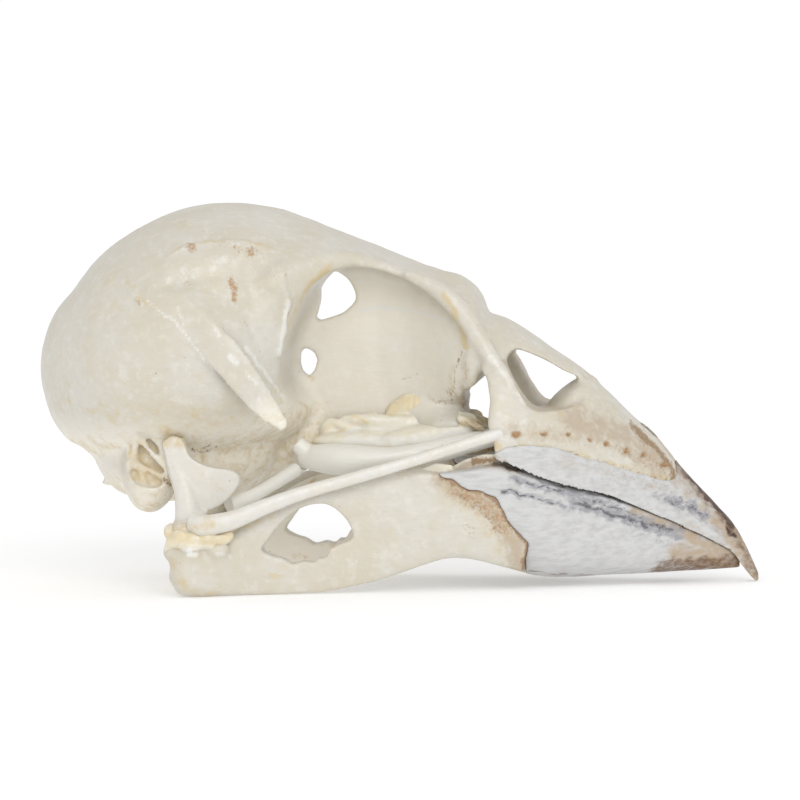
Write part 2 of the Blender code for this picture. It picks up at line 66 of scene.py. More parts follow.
def curveOf(line, steps=8):
    # a smooth dense line through a few points
    return rowsAt(line, np.linspace(0, 1, (len(line) - 1) * steps + 1))


def loopOf(outline, steps=5):
    # a smooth closed line through a few points
    return curveOf(outline + outline[:1], steps)


def squared(value, power):
    return np.sign(value) * np.abs(value) ** power


def skin(place, sides, rings):
    # a sphere pulled into a form; place gets the share along, and the cosine and sine around
    bm = bmesh.new()
    bmesh.ops.create_uvsphere(bm, u_segments=sides, v_segments=rings, radius=1.0)
    co = np.array([vert.co[:] for vert in bm.verts])
    ring = np.rint(np.arccos(np.clip(co[:, 2], -1, 1)) / math.pi * rings)
    share = np.clip((ring - 1) / (rings - 2), 0, 1)
    around = np.arctan2(co[:, 1], co[:, 0])
    wide = np.where((ring == 0) | (ring == rings), 0.0, 1.0)
    spots = place(share, np.cos(around) * wide, np.sin(around) * wide)
    for vert, spot in zip(bm.verts, spots):
        vert.co = spot
    if bm.calc_volume(signed=True) < 0:
        bmesh.ops.reverse_faces(bm, faces=bm.faces)
    return bm


def sectionForm(rows, sides=64, rings=80, topPower=1.0, lowPower=1.0):
    # sections across X: x, top, widest level, underside, half width; a lower power is a squarer section
    def place(share, cosA, sinA):
        x, top, middle, under, half = rowsAt(rows, share).T
        height = np.where(sinA > 0, top - middle, middle - under)
        power = np.where(sinA > 0, topPower, lowPower)
        return np.stack((x, half * squared(cosA, power), middle + height * squared(sinA, power)), 1)
    return skin(place, sides, rings)


def plateForm(rows, power, sides=48, rings=32):
    # sections across Y on the bird's right: distance aside, rear, front, top, underside
    def place(share, cosA, sinA):
        y, rear, front, top, under = rowsAt(rows, share).T
        x = (rear + front) / 2 + (front - rear) / 2 * squared(cosA, power)
        return np.stack((x, -y, (top + under) / 2 + (top - under) / 2 * squared(sinA, power)), 1)
    return skin(place, sides, rings)


def rodForm(line, radii, sides=24, rings=60, flat=1.0):
    # a tapered rod through (x, y, z) points; flat scales its thickness along Y
    def place(share, cosA, sinA):
        spot = rowsAt(line, share)
        ahead = rowsAt(line, share + 0.01) - rowsAt(line, share - 0.01)
        ahead /= np.linalg.norm(ahead, axis=1)[:, None]
        side = np.cross((0.0, 0.0, 1.0), ahead)
        side /= np.maximum(np.linalg.norm(side, axis=1), 1e-6)[:, None]
        up = np.cross(ahead, side)
        radius = rowsAt([(r,) for r in radii], share)
        return spot + radius * (side * cosA[:, None] * flat + up * sinA[:, None])
    return skin(place, sides, rings)


def ballForm(centre, radii, turnY=0.0, detail=5):
    bm = bmesh.new()
    bmesh.ops.create_icosphere(bm, subdivisions=detail, radius=1.0)
    spread = Matrix.Diagonal(Vector((radii[0], radii[1], radii[2], 1.0)))
    turn = Matrix.Rotation(math.radians(turnY), 4, "Y")
    bmesh.ops.transform(bm, matrix=Matrix.Translation(Vector(centre)) @ turn @ spread, verts=bm.verts)
    return bm


def slabForm(outline, y, halfThick):
    # a flat plate across Y with a side outline of (x, z) points
    bm = bmesh.new()
    face = bm.faces.new([bm.verts.new((x, y - halfThick, z)) for x, z in outline])
    grown = bmesh.ops.extrude_face_region(bm, geom=[face])["geom"]
    moved = [item for item in grown if isinstance(item, bmesh.types.BMVert)]
    bmesh.ops.translate(bm, verts=moved, vec=(0, 2 * halfThick, 0))
    bmesh.ops.triangulate(bm, faces=[item for item in bm.faces if len(item.verts) > 4])
    bmesh.ops.recalc_face_normals(bm, faces=bm.faces)
    return bm


def otherSide(bm):
    copy = bm.copy()
    bmesh.ops.scale(copy, vec=(1, -1, 1), verts=copy.verts)
    bmesh.ops.reverse_faces(copy, faces=copy.faces)
    return copy


def bothSides(forms):
    return list(forms) + [otherSide(form) for form in forms]


def pieceOf(name, forms):
    # one object out of several forms
    whole = bmesh.new()
    for form in forms:
        part = bpy.data.meshes.new("part")
        form.to_mesh(part)
        form.free()
        whole.from_mesh(part)
        bpy.data.meshes.remove(part)
    mesh = bpy.data.meshes.new(name)
    whole.to_mesh(mesh)
    whole.free()
    piece = bpy.data.objects.new(name, mesh)
    bpy.context.collection.objects.link(piece)
    return piece


def applyAll(piece):
    view = bpy.context.evaluated_depsgraph_get()
    result = bpy.data.meshes.new_from_object(piece.evaluated_get(view))
    piece.modifiers.clear()
    old = piece.data
    piece.data = result
    bpy.data.meshes.remove(old)


def fuseForms(piece, voxel, smooth=0):
    # overlapping forms become one skin
    step = piece.modifiers.new("fuse", "REMESH")
    step.mode = "VOXEL"
    step.voxel_size = voxel
    step.use_smooth_shade = True
    if smooth:
        soften = piece.modifiers.new("soften", "SMOOTH")
        soften.factor = 0.5
        soften.iterations = smooth
    applyAll(piece)


def joinForms(piece, other):
    # the other object's mesh goes into the piece's own
    both = bmesh.new()
    both.from_mesh(piece.data)
    both.from_mesh(other.data)
    both.to_mesh(piece.data)
    both.free()
    bpy.data.objects.remove(other, do_unlink=True)


def cutForms(piece, forms, operation="DIFFERENCE"):
    cutter = pieceOf("cutter", forms)
    step = piece.modifiers.new("cut", "BOOLEAN")
    step.operation = operation
    step.object = cutter
    step.solver = "MANIFOLD"
    applyAll(piece)
    bpy.data.objects.remove(cutter, do_unlink=True)


def pointsOf(piece):
    count = len(piece.data.vertices)
    co = np.empty(count * 3)
    piece.data.vertices.foreach_get("co", co)
    normal = np.empty(count * 3)
    piece.data.vertices.foreach_get("normal", normal)
    return co.reshape(-1, 3), normal.reshape(-1, 3)


def pushOut(piece, co, normal, amount):
    # each point moved along its normal
    piece.data.vertices.foreach_set("co", (co + normal * amount[:, None]).ravel())
    piece.data.update()


def reach(points, line):
    # distance from points to a line, in two or three dimensions
    best = np.full(len(points), 1e9)
    dense = np.asarray(line, dtype=float)
    for start, end in zip(dense[:-1], dense[1:]):
        along = end - start
        length = max(float(along @ along), 1e-9)
        t = np.clip(((points - start) @ along) / length, 0, 1)
        best = np.minimum(best, np.linalg.norm(points - (start + t[:, None] * along), axis=1))
    return best


def inside(points, outline):
    # which (x, z) points lie in a closed outline
    x, z = points[:, 0], points[:, 1]
    hit = np.zeros(len(points), dtype=bool)
    ring = np.asarray(outline, dtype=float)
    for (x1, z1), (x2, z2) in zip(ring, np.roll(ring, -1, axis=0)):
        if z1 == z2:
            continue
        across = (z > min(z1, z2)) & (z <= max(z1, z2))
        hit ^= across & (x < x1 + (z - z1) * (x2 - x1) / (z2 - z1))
    return hit


def fade(distance, width):
    # 1 on the line, falling smoothly to 0 at the given distance
    t = np.clip(1 - distance / width, 0, 1)
    return t * t * (3 - 2 * t)


def rise(value, start, width):
    # from 0 at the start to 1 past the width; a negative width falls instead
    return np.clip((value - start) / width, 0, 1)


def grain(points, scale, seed):
    # smooth noise from -1 to 1
    shift = Vector((seed * 7.13, seed * 3.71, seed * 5.37))
    return np.array([noise.noise(Vector(point) * scale + shift) for point in points])


def bumps(points, *grains):
    # surface noise of several sizes, each with its height, scale and seed
    return sum(height * grain(points, scale, seed) for height, scale, seed in grains)


def paint(piece, name, values):
    layer = piece.data.attributes.new(name, "FLOAT", "POINT")
    layer.data.foreach_set("value", np.clip(values, 0, 1).astype(np.float32))


def wander(co, amount=0.09, scale=2.4):
    # side view places pushed about a little, so that painted lines aren't ruled
    return co[:, [0, 2]] + amount * np.stack((grain(co, scale, 11), grain(co, scale, 12)), 1)


def lineMark(side, lines):
    # the strongest of several lines in side view, each with its width and strength
    value = np.zeros(len(side))
    for line, width, strength in lines:
        value = np.maximum(value, strength * fade(reach(side, curveOf(line, 5)), width))
    return value


def strengthen(marks, name, *values):
    for value in values:
        marks[name] = np.maximum(marks[name], value)


def layMarks(piece, side, marks):
    for name, lines in marks.items():
        paint(piece, name, lineMark(side, lines))


def finishPiece(piece, material, replaced):
    # to metres, smooth, with its finish, and in the place of its CAD nodes
    piece.data.transform(Matrix.Scale(millimetre, 4))
    for face in piece.data.polygons:
        face.use_smooth = True
    piece.data.materials.clear()
    piece.data.materials.append(material)
    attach(piece, "root")
    if replaced:
        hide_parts(*replaced)
    print("made", piece.name, len(piece.data.polygons), "faces")


# materials

def setSockets(tree, node, values):
    # a number or a link for each socket
    for key, value in values.items():
        if isinstance(value, bpy.types.NodeSocket):
            tree.links.new(value, node.inputs[key])
        else:
            node.inputs[key].default_value = value


def nodeIn(tree, kind, sockets=None, **values):
    node = tree.nodes.new(kind)
    for key, value in values.items():
        setattr(node, key, value)
    setSockets(tree, node, sockets or {})
    return node


def mixColour(tree, factor, first, second):
    return nodeIn(tree, "ShaderNodeMix", {0: factor, 6: first, 7: second}, data_type="RGBA").outputs[2]


def noiseIn(tree, place, stretch, scale, detail, rough, distort):
    drawn = nodeIn(tree, "ShaderNodeMapping", {"Vector": place, "Scale": (stretch, 1.0, 1.0)})
    return nodeIn(tree, "ShaderNodeTexNoise", {
        "Vector": drawn.outputs["Vector"], "Scale": scale, "Detail": detail, "Roughness": rough,
        "Distortion": distort}).outputs["Fac"]


def rampIn(tree, value, low, high):
    return nodeIn(tree, "ShaderNodeMapRange", {"Value": value, "From Min": low, "From Max": high},
                  interpolation_type="SMOOTHSTEP").outputs["Result"]


def mathIn(tree, operation, first, second):
    return nodeIn(tree, "ShaderNodeMath", {0: first, 1: second}, operation=operation).outputs[0]


def markIn(tree, name):
    return nodeIn(tree, "ShaderNodeAttribute", attribute_name=name).outputs["Fac"]


breakUp = {
    # detail, roughness and distortion of the noise, and the span of it that counts
    "noise": (6.0, 0.68, 0.4),
    "span": (0.3, 0.7),
    # strength at which a mark shows, and the faint end that is always faded out
    "shows": 0.3,
    "faint": (0.02, 0.2),
}


def brokenMark(tree, place, name, scale, soft, rough, stretch):
    # a painted mark broken up by noise; rough says how far the noise eats into it
    spots = noiseIn(tree, place, stretch, scale, *breakUp["noise"])
    spread = nodeIn(tree, "ShaderNodeMapRange", {
        "Value": spots, "From Min": breakUp["span"][0], "From Max": breakUp["span"][1],
        "To Min": -0.5 * rough, "To Max": 0.5 * rough}, clamp=False)
    mark = markIn(tree, name)
    total = mathIn(tree, "ADD", mark, spread.outputs["Result"])
    broken = rampIn(tree, total, breakUp["shows"], breakUp["shows"] + soft)
    return mathIn(tree, "MULTIPLY", broken, rampIn(tree, mark, *breakUp["faint"]))


def makeFinish(name, look):
    material = bpy.data.materials.new(name)
    material.use_nodes = True
    tree = material.node_tree
    place = nodeIn(tree, "ShaderNodeTexCoord").outputs["Object"]
    grains = []

    def addLayer(colour, pattern, low, high, share, tint):
        grains.append(noiseIn(tree, place, *pattern))
        factor = mathIn(tree, "MULTIPLY", rampIn(tree, grains[-1], low, high), share)
        return mixColour(tree, factor, colour, look[tint])

    colour = look["base"]
    for layer in look["layers"]:
        colour = addLayer(colour, *layer)
    relief = mathIn(tree, "ADD", *grains[-2:])
    # painted light: a paler colour mixed in where shade falls, in hollows and on inner faces
    if "inner" in look:
        factor = mathIn(tree, "MULTIPLY", markIn(tree, "inner"), look["innerShare"])
        colour = mixColour(tree, factor, colour, look["inner"])
    for mark, tint, scale, soft, rough, stretch, share in look["marks"]:
        broken = brokenMark(tree, place, mark, scale, soft, rough, stretch)
        colour = mixColour(tree, mathIn(tree, "MULTIPLY", broken, share), colour, look[tint])
    for layer in look["specks"]:
        colour = addLayer(colour, *layer)
    weight, radius, scale = look["subsurface"]
    bump = nodeIn(tree, "ShaderNodeBump", {
        "Height": relief, "Strength": look["bump"], "Distance": look["relief"]})
    setSockets(tree, tree.nodes["Principled BSDF"], {
        "Base Color": colour, "Roughness": look["roughness"], "Subsurface Weight": weight,
        "Subsurface Radius": radius, "Subsurface Scale": scale, "Normal": bump.outputs["Normal"]})
    return material


boneLook = {
    "base": (0.61, 0.565, 0.465, 1),
    "cool": (0.64, 0.615, 0.55, 1),
    "shade": (0.56, 0.52, 0.44, 1),
    "yellow": (0.60, 0.485, 0.28, 1),
    "tanAndShade": (0.46, 0.37, 0.27, 1),
    "rust": (0.42, 0.245, 0.11, 1),
    "stainAndShadow": (0.27, 0.155, 0.07, 1),
    "paleAndHighlight": (0.76, 0.75, 0.71, 1),
    # a paler colour painted where shade falls, as painted light, and how much of it shows
    "inner": (0.86, 0.82, 0.73, 1),
    "innerShare": 0.9,
    "roughness": 0.38,
    "subsurface": (0.15, (1.0, 0.8, 0.5), 0.0006),
    "bump": 0.6,
    "relief": 0.00003,
    # noise (stretch along X, scale, detail, roughness, distortion), its low and high, strength and colour;
    # the last two noises also make the relief
    "layers": (((1.0, 330.0, 5.0, 0.6, 0.2), 0.36, 0.64, 1.0, "cool"), ((1.0, 640.0, 6.0, 0.62, 0.4), 0.54,
        0.78, 0.35, "yellow"), ((0.28, 5200.0, 4.0, 0.62, 0.0), 0.45, 0.75, 0.4, "shade"),
        ((1.0, 2300.0, 4.0, 0.6, 0.0), 0.5, 0.7, 0.3, "paleAndHighlight")),
    "specks": (((1.0, 4300.0, 2.0, 0.5, 0.0), 0.735, 0.79, 0.45, "stainAndShadow"),),
    # painted mark, its colour, size of the noise in it, softness, roughness, stretch along X and strength;
    # besides the bone's own tints, some marks hold painted highlights, shade and shadow
    "marks": (("paleAndHighlight", "paleAndHighlight", 2600.0, 0.6, 0.7, 1.0, 0.9), ("warmAndShade", "yellow", 2000.0, 0.8, 0.9, 1.0, 0.8),
        ("tanAndShade", "tanAndShade", 2400.0, 0.7, 0.6, 1.0, 0.8), ("stainAndShadow", "stainAndShadow", 7000.0, 0.6, 1.0, 1.0, 0.85),
        ("rust", "rust", 8000.0, 0.7, 1.1, 1.0, 0.85)),
}
# dense small bones: paler colours, and the painted light they show against the shade under the skull
denseLook = {**boneLook, "base": (0.69, 0.655, 0.59, 1), "cool": (0.70, 0.685, 0.64, 1),
             "shade": (0.62, 0.59, 0.53, 1), "inner": (0.82, 0.81, 0.76, 1)}
tissueLook = {**boneLook, "base": (0.76, 0.71, 0.58, 1), "cool": (0.78, 0.75, 0.66, 1),
              "shade": (0.68, 0.60, 0.44, 1), "yellow": (0.71, 0.59, 0.36, 1), "roughness": 0.3}
hornLook = {
    "base": (0.60, 0.60, 0.595, 1),
    "shade": (0.49, 0.485, 0.475, 1),
    "grey": (0.31, 0.31, 0.335, 1),
    "crack": (0.075, 0.072, 0.08, 1),
    "brownAndShadow": (0.17, 0.098, 0.052, 1),
    "darkBrown": (0.07, 0.038, 0.024, 1),
    "tanAndShade": (0.43, 0.325, 0.215, 1),
    "roughness": 0.5,
    "subsurface": (0.1, (1.0, 0.8, 0.6), 0.0005),
    "bump": 0.6,
    "relief": 0.00004,
    "layers": (((0.16, 5200.0, 4.0, 0.62, 0.0), 0.35, 0.75, 1.0, "shade"), ((0.5, 2600.0, 7.0, 0.72, 0.6),
        0.5, 0.66, 0.3, "shade")),
    "specks": (),
    "marks": (("tanAndShade", "tanAndShade", 2400.0, 1.0, 0.6, 0.4, 0.95), ("grey", "grey", 5600.0, 0.95, 1.1, 0.5, 0.95),
        ("crack", "crack", 7600.0, 0.8, 1.3, 0.5, 0.8), ("brownAndShadow", "brownAndShadow", 5600.0, 1.0, 0.8, 0.3, 1.0),
        ("darkAndShadow", "darkBrown", 4200.0, 0.75, 0.8, 0.4, 1.0)),
}
boneFinish = makeFinish("bone", boneLook)
denseFinish = makeFinish("dense_bone", denseLook)
hornFinish = makeFinish("horn", hornLook)
print("materials made")


# cranium

cranium = {
    # each fuse is a remesh size and rounds of smoothing
    "roofFuse": (0.14, 14),
    "hollowFuse": (0.14, 8),
    "wallFuse": (0.12, 3),
    "skullFuse": (0.13, 3),
    "halfWidth": 7.35,
    # x, crown, widest level, underside, share of the half width
    "braincase": ((-15.75, 9.95, 9.6, 9.2, 0.07), (-15.55, 10.95, 9.7, 8.4, 0.24),
        (-15.0, 12.15, 9.9, 7.2, 0.43), (-14.2, 13.2, 10.1, 6.3, 0.6), (-13.1, 14.55, 10.3, 5.6, 0.77),
        (-11.7, 15.6, 10.5, 5.2, 0.9), (-10.3, 16.3, 10.7, 5.2, 0.97), (-8.9, 16.75, 10.9, 5.4, 1.0),
        (-7.6, 16.87, 11.0, 5.6, 0.99), (-6.4, 16.8, 11.1, 5.9, 0.94), (-5.2, 16.6, 11.4, 6.3, 0.83),
        (-4.3, 16.3, 11.6, 6.8, 0.67), (-3.7, 15.9, 11.7, 7.8, 0.42)),
    # x, top, widest level, underside, half width
    "base": ((-13.4, 8.0, 6.6, 5.3, 1.6), (-12.4, 8.0, 5.8, 4.2, 3.4), (-11.0, 8.0, 5.6, 3.8, 4.4),
        (-9.5, 8.0, 5.8, 3.75, 4.2), (-8.0, 8.0, 5.9, 3.75, 3.8), (-6.9, 8.0, 6.0, 3.95, 3.3),
        (-6.0, 8.0, 6.2, 4.6, 2.6), (-5.3, 8.0, 6.6, 5.4, 1.8)),
    # x, crown, drop from crown to rim, half width, depth below the rim
    "frontal": ((-6.2, 16.6, 3.0, 6.0, 4.0), (-5.0, 16.45, 2.6, 5.9, 4.0), (-4.0, 16.2, 1.9, 5.3, 3.8),
        (-3.0, 15.8, 1.15, 4.6, 3.6), (-2.0, 15.38, 0.65, 3.9, 3.3), (-1.0, 14.98, 0.42, 3.3, 2.9),
        (0.0, 14.55, 0.36, 2.9, 2.6), (1.0, 14.15, 0.36, 2.75, 2.4), (2.0, 13.7, 0.45, 2.85, 2.1),
        (3.0, 13.0, 0.65, 3.15, 1.8), (4.15, 11.98, 0.85, 3.3, 1.4)),
    "septum": ((-5.0, 6.2), (3.1, 6.5), (3.1, 8.95), (3.6, 9.3), (3.7, 12.0), (2.2, 13.2), (0.2, 14.1),
        (-2.3, 15.1), (-5.0, 15.6)),
    "septumHalf": 0.3,
    "nape": ((-13.6, 0.0, 9.6), (2.15, 3.0, 3.6)),
    "earSwelling": ((-10.5, -3.85, 5.6), (1.3, 1.65, 2.1), 6.0),
    "condyle": ((-12.9, 0.0, 4.9), (0.5, 0.55, 0.5), 0.0, 4),
    "foramen": ((-13.9, 0.0, 5.4), (1.5, 1.3, 1.1), -40.0),
    "rostrum": ((-6.4, 0, 5.4), (-4.4, 0, 6.1), (-2.0, 0, 6.35), (1.0, 0, 6.5), (3.3, 0, 6.7)),
    "rostrumRadii": (0.95, 0.75, 0.6, 0.55, 0.4),
    # distance aside, rear, front, top, underside
    "plate": ((0.0, -1.6, 3.75, 13.9, 7.4), (0.35, -0.6, 3.77, 13.8, 7.5), (0.6, 0.3, 3.8, 13.7, 7.7),
        (1.0, 1.05, 3.8, 13.5, 7.9), (1.5, 1.7, 3.85, 13.3, 8.1), (2.1, 2.3, 3.88, 13.0, 8.3),
        (2.7, 2.85, 3.9, 12.6, 8.55), (3.1, 3.25, 3.88, 12.2, 8.95), (3.3, 3.45, 3.8, 11.8, 9.4)),
    "plateSquare": 0.72,
    "shelfSquare": 0.8,
    "roundness": 0.95,
    "shelf": ((0.0, -0.4, 3.2, 8.6, 6.6), (0.6, 0.2, 3.2, 8.2, 6.7), (1.1, 0.8, 3.15, 7.9, 6.8),
        (1.6, 1.3, 3.1, 7.6, 6.85), (2.0, 1.8, 2.9, 7.3, 6.9)),
    # side outline of the ragged hole between the plate and the bill
    "frontHole": ((3.4, 7.35), (3.1, 7.7), (3.22, 8.1), (3.05, 8.35), (3.15, 8.7), (3.5, 8.8), (3.8, 9.1),
        (4.4, 9.3), (5.2, 8.6), (5.0, 7.3)),
    # soft band from the roof's edge over the hinge to the bar behind the nostril
    "rimBand": ((0.6, -2.75, 13.85), (1.7, -2.85, 13.35), (2.6, -3.05, 12.7), (3.3, -3.1, 11.9),
        (3.8, -3.15, 11.1), (4.3, -3.3, 10.3), (4.9, -3.6, 9.5), (5.4, -3.9, 8.7)),
    "rimBandRadii": (0.25, 0.36, 0.44, 0.46, 0.44, 0.4, 0.34, 0.25),
    "blade": ((-10.4, -6.3, 13.45), (-9.3, -6.75, 12.75), (-8.3, -7.1, 12.05), (-7.4, -7.4, 11.2),
        (-6.76, -7.5, 10.55), (-5.6, -7.2, 8.95), (-5.05, -6.95, 8.2), (-4.3, -6.6, 7.35)),
    "bladeRadii": (0.25, 0.5, 0.72, 0.82, 0.84, 0.7, 0.58, 0.3),
    # half thickness, and what its edges add
    "bladeThick": (0.16, 0.08),
    "ear": ((-11.42, 7.0), (-11.5, 6.3), (-11.42, 5.6), (-11.2, 5.05), (-10.9, 4.8), (-10.4, 4.7),
        (-9.85, 4.85), (-9.75, 5.5), (-9.85, 6.3), (-10.15, 6.85), (-10.8, 7.15)),
    "earStruts": (((-11.5, -5.1, 7.25), (-10.76, -5.1, 6.72), (-10.2, -5.05, 6.06), (-9.6, -4.9, 5.45)),
        ((-10.7, -5.0, 7.35), (-10.23, -5.0, 6.8), (-9.8, -4.9, 6.3)), ((-11.5, -4.9, 5.9),
        (-10.6, -4.75, 5.5), (-9.7, -4.7, 5.0)), ((-11.0, -4.9, 7.0), (-11.1, -4.75, 6.0),
        (-10.7, -4.7, 4.8))),
    "earStrutRadii": (0.24, 0.15, 0.13, 0.2),
    # side outline of the eye hollow, the point it shrinks to, and its scale by distance from the middle
    "orbit": ((-4.36, 11.3), (-4.05, 12.0), (-3.5, 13.15), (-2.65, 13.9), (-1.8, 14.15), (-0.85, 14.05),
        (0.45, 13.6), (1.5, 13.05), (2.35, 12.4), (3.0, 11.6), (3.3, 10.6), (3.4, 9.6), (3.2, 8.6),
        (2.5, 7.75), (1.3, 7.25), (-0.2, 7.1), (-1.7, 7.1), (-3.1, 7.3), (-4.1, 8.0), (-4.65, 9.1),
        (-4.65, 10.3)),
    "orbitCentre": (-0.6, 10.8),
    # places and half thicknesses of the slabs that cut the holes
    "frontHoleCut": (0.0, 4.0),
    "windowCut": (0.0, 1.2),
    "earCut": (-6.4, 1.85),
    "orbitSpread": ((0.3, 0.84), (0.42, 0.9), (0.7, 0.95), (1.2, 0.985), (2.0, 1.0), (8.5, 1.0)),
    "window": ((-2.62, 13.9), (-3.05, 13.6), (-3.35, 13.2), (-3.3, 12.6), (-3.4, 12.1), (-3.62, 11.6),
        (-3.0, 11.75), (-2.3, 11.98), (-1.85, 12.4), (-1.72, 12.65), (-1.85, 13.1), (-2.1, 13.5)),
    "nerveHole": ((-4.02, 10.48), (-4.22, 10.3), (-4.33, 10.03), (-4.18, 9.42), (-3.9, 9.18), (-3.64, 9.42),
        (-3.48, 9.9), (-3.6, 10.25)),
}


def orbitForm(look):
    ring = loopOf(look["orbit"], 6)
    around = np.linspace(0, 1, len(ring))

    def place(share, cosA, sinA):
        aside, scale = rowsAt(look["orbitSpread"], share).T
        angle = (np.arctan2(sinA, cosA) / (2 * math.pi)) % 1.0
        x, z = np.interp(angle, around, ring[:, 0]), np.interp(angle, around, ring[:, 1])
        closed = np.where((cosA == 0) & (sinA == 0), 0.0, 1.0) * scale
        midX, midZ = look["orbitCentre"]
        return np.stack((midX + (x - midX) * closed, -aside, midZ + (z - midZ) * closed), 1)
    return skin(place, 96, 40)


def makeCranium(look):
    shell = [(x, top, middle, under, look["halfWidth"] * share)
             for x, top, middle, under, share in look["braincase"]]

    def roofPlace(share, cosA, sinA):
        x, crown, drop, half, depth = rowsAt(look["frontal"], share).T
        fall = np.where(sinA >= 0, drop * cosA ** 2, drop - depth * sinA)
        fall = np.where((cosA == 0) & (sinA == 0), drop, fall)
        return np.stack((x, half * cosA, crown - fall), 1)

    piece = pieceOf("craniumBone", [
        sectionForm(shell, 128, 110, look["roundness"], look["roundness"]),
        sectionForm(look["base"], 64, 50), skin(roofPlace, 96, 80), ballForm(*look["nape"])])
    fuseForms(piece, *look["roofFuse"])
    cutForms(piece, bothSides([orbitForm(look)]))
    fuseForms(piece, *look["hollowFuse"])
    print("braincase and roof fused")

    def bladePlace(share, cosA, sinA):
        spot = rowsAt(look["blade"], share)
        ahead = rowsAt(look["blade"], share + 0.01) - rowsAt(look["blade"], share - 0.01)
        ahead[:, 1] = 0
        ahead /= np.linalg.norm(ahead, axis=1)[:, None]
        wide = np.stack((-ahead[:, 2], np.zeros(len(ahead)), ahead[:, 0]), 1)
        radius = rowsAt([(r,) for r in look["bladeRadii"]], share)
        thick = look["bladeThick"][0] + look["bladeThick"][1] * np.abs(cosA) ** 4
        return spot + wide * radius * cosA[:, None] + np.stack(
            (np.zeros(len(spot)), thick * sinA, np.zeros(len(spot))), 1)

    sides = [plateForm(look["plate"], look["plateSquare"]), plateForm(look["shelf"], look["shelfSquare"]),
             skin(bladePlace, 32, 70), rodForm(look["rimBand"], look["rimBandRadii"], 32, 60),
             ballForm(*look["earSwelling"])]
    forms = bothSides(sides) + [
        slabForm(look["septum"], 0.0, look["septumHalf"]), rodForm(look["rostrum"], look["rostrumRadii"]),
        ballForm(*look["condyle"])]
    joinForms(piece, pieceOf("walls", forms))
    fuseForms(piece, *look["wallFuse"])
    print("orbit walls joined")
    cutForms(piece, [slabForm(look["frontHole"], *look["frontHoleCut"])])
    holes = [slabForm(look[hole], *look["windowCut"]) for hole in ("window", "nerveHole")]
    pockets = bothSides([slabForm(loopOf(look["ear"], 4)[:-1], *look["earCut"])])
    cutForms(piece, holes + [ballForm(*look["foramen"])] + pockets)
    struts = [rodForm(line, look["earStrutRadii"], 12, 24) for line in look["earStruts"]]
    joinForms(piece, pieceOf("struts", bothSides(struts)))
    return piece


craniumBone = makeCranium(cranium)


